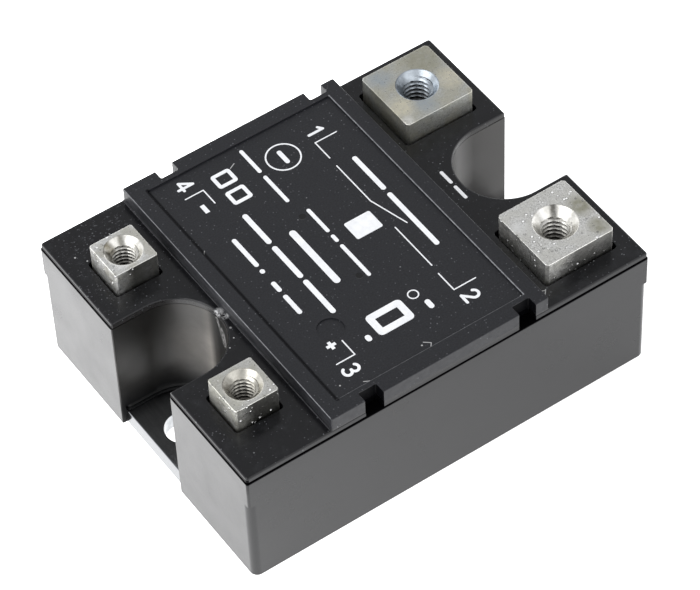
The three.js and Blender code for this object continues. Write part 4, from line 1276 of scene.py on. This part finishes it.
for material, edge, nodes in (
        (COPPER, 0.05, ("substrate_back_copper", "copper_pad_1", "copper_pad_2")),
        (CERAMIC, 0.06, ("ceramic_substrate",)),
        (SILICON, 0.05, ("thyristor_die_1", "thyristor_die_2")),
        (TIN, 0.06, ("cathode_clip_1", "cathode_clip_2")),
        (TIN, 0.08, ("output_lead_1", "output_lead_2", "input_pin_3", "input_pin_4")),
        (TIN, 0.0, ("gate_pin_1", "gate_pin_2", "pad_pin_1", "pad_pin_2")),
        (board_material(), 0.0, ("control_board",)),
        (MOULDING, 0.0, ("optocoupler", "input_transistor", "input_diode")),
        (CAPACITOR, 0.25, ("snubber_capacitor",)),
        (GEL, 0.0, ("gel_filling",)),
        (RESIN, 0.0, ("potting_block",))):
    for node in nodes:
        dress(node, material, edge)
for node, axis in (
        ("snubber_resistor", "Y"), ("input_resistor", "Y"),
        ("gate_resistor_1", "X"), ("gate_resistor_2", "X")):
    low, high = cad_box(node)
    index = "XYZ".index(axis)
    dress(node, banded_resistor(node + "_bands", low[index] + 2, high[index] - 2, axis))


# --- Floor, light and camera ---

FLOOR_HALF = 1500.0
FLOOR_Z = -0.02
GLOW_LOW, GLOW_HIGH = 0.80, 1.85
GLOW_REACH = 45.0
WHITE_LIGHT = (1.0, 1.0, 1.0)
SKY = ((0.0, 2.2), (0.2, 1.7), (0.42, 0.75), (0.62, 0.62), (1.0, 0.60))


def pale_floor():
    """A floor that glows a little, more towards the far left."""
    n = Nodes("pale_floor")
    across = n.math("SUBTRACT", n.axis("Y"), n.axis("X"))
    glow = n.remap(across, GLOW_LOW, GLOW_HIGH, -GLOW_REACH, GLOW_REACH)
    return n.surface(
        n.patchy(160.0, 2.0, 0.55, (0.3, 0.87), (0.7, 0.90)), 0.9,
        Specular_IOR_Level=0.1, Emission_Color=WHITE_LIGHT, Emission_Strength=glow)


CORNERS = ((-1, -1), (1, -1), (1, 1), (-1, 1))
floor_corners = [(x * FLOOR_HALF, y * FLOOR_HALF, FLOOR_Z) for x, y in CORNERS]
floor = placed("floor", mesh_from(floor_corners, [(0, 1, 2, 3)]))
floor.data.materials.append(pale_floor())

world = bpy.data.worlds.new("studio")
scene.world = world
world.use_nodes = True
tree = world.node_tree
tree.nodes.clear()
coords, split, fade, sky, out = (tree.nodes.new("ShaderNode" + kind) for kind in (
    "TexCoord", "SeparateXYZ", "ValToRGB", "Background", "OutputWorld"))
while len(fade.color_ramp.elements) < len(SKY):
    fade.color_ramp.elements.new(0.5)
for element, (height, level) in zip(fade.color_ramp.elements, SKY):
    element.position = height
    element.color = (level, level * 1.01, level * 1.03, 1.0)
tree.links.new(coords.outputs["Generated"], split.inputs[0])
tree.links.new(split.outputs["Z"], fade.inputs["Fac"])
tree.links.new(fade.outputs["Color"], sky.inputs["Color"])
tree.links.new(sky.outputs["Background"], out.inputs["Surface"])


def direction(azimuth, elevation):
    """The unit vector towards a compass angle, 0 at the front, and a height, both in degrees."""
    a, e = math.radians(azimuth), math.radians(elevation)
    return Vector((math.sin(a) * math.cos(e), -math.cos(a) * math.cos(e), math.sin(e)))


def soft_light(name, azimuth, power, elevation=42, distance=700, size=620):
    """A square area light that faces the part."""
    back = direction(azimuth, elevation)
    data = bpy.data.lights.new(name, "AREA")
    data.shape = "SQUARE"
    data.size = size * MM
    data.energy = power
    light = placed(name, data)
    light.location = back * distance * MM
    light.rotation_mode = "QUATERNION"
    light.rotation_quaternion = back.to_track_quat("Z", "Y")


soft_light("left_softbox", -88, 2.5)
soft_light("right_softbox", 14, 0.9)

AZIMUTH, ELEVATION, ROLL = -32.638, 49.368, -2.963
DISTANCE = 444.44
AIM_X, AIM_Y = 0.258, 6.590
SENSOR = 36.0
LENS = 186.8143

back = direction(AZIMUTH, ELEVATION)
level = Vector((0, 0, 1)).cross(back).normalized()
upward = back.cross(level)
roll = math.radians(ROLL)
right = level * math.cos(roll) + upward * math.sin(roll)
top = upward * math.cos(roll) - level * math.sin(roll)
place = (right * AIM_X + top * AIM_Y + back * DISTANCE) * MM
camera_data = bpy.data.cameras.new("camera")
camera_data.sensor_width = SENSOR
camera_data.lens = LENS
camera_data.clip_start = 0.01
camera_data.clip_end = 10.0
camera = placed("camera", camera_data)
camera.matrix_world = Matrix((
    (right.x, top.x, back.x, place.x),
    (right.y, top.y, back.y, place.y),
    (right.z, top.z, back.z, place.z),
    (0, 0, 0, 1)))
scene.camera = camera
scene.view_settings.view_transform = "Standard"
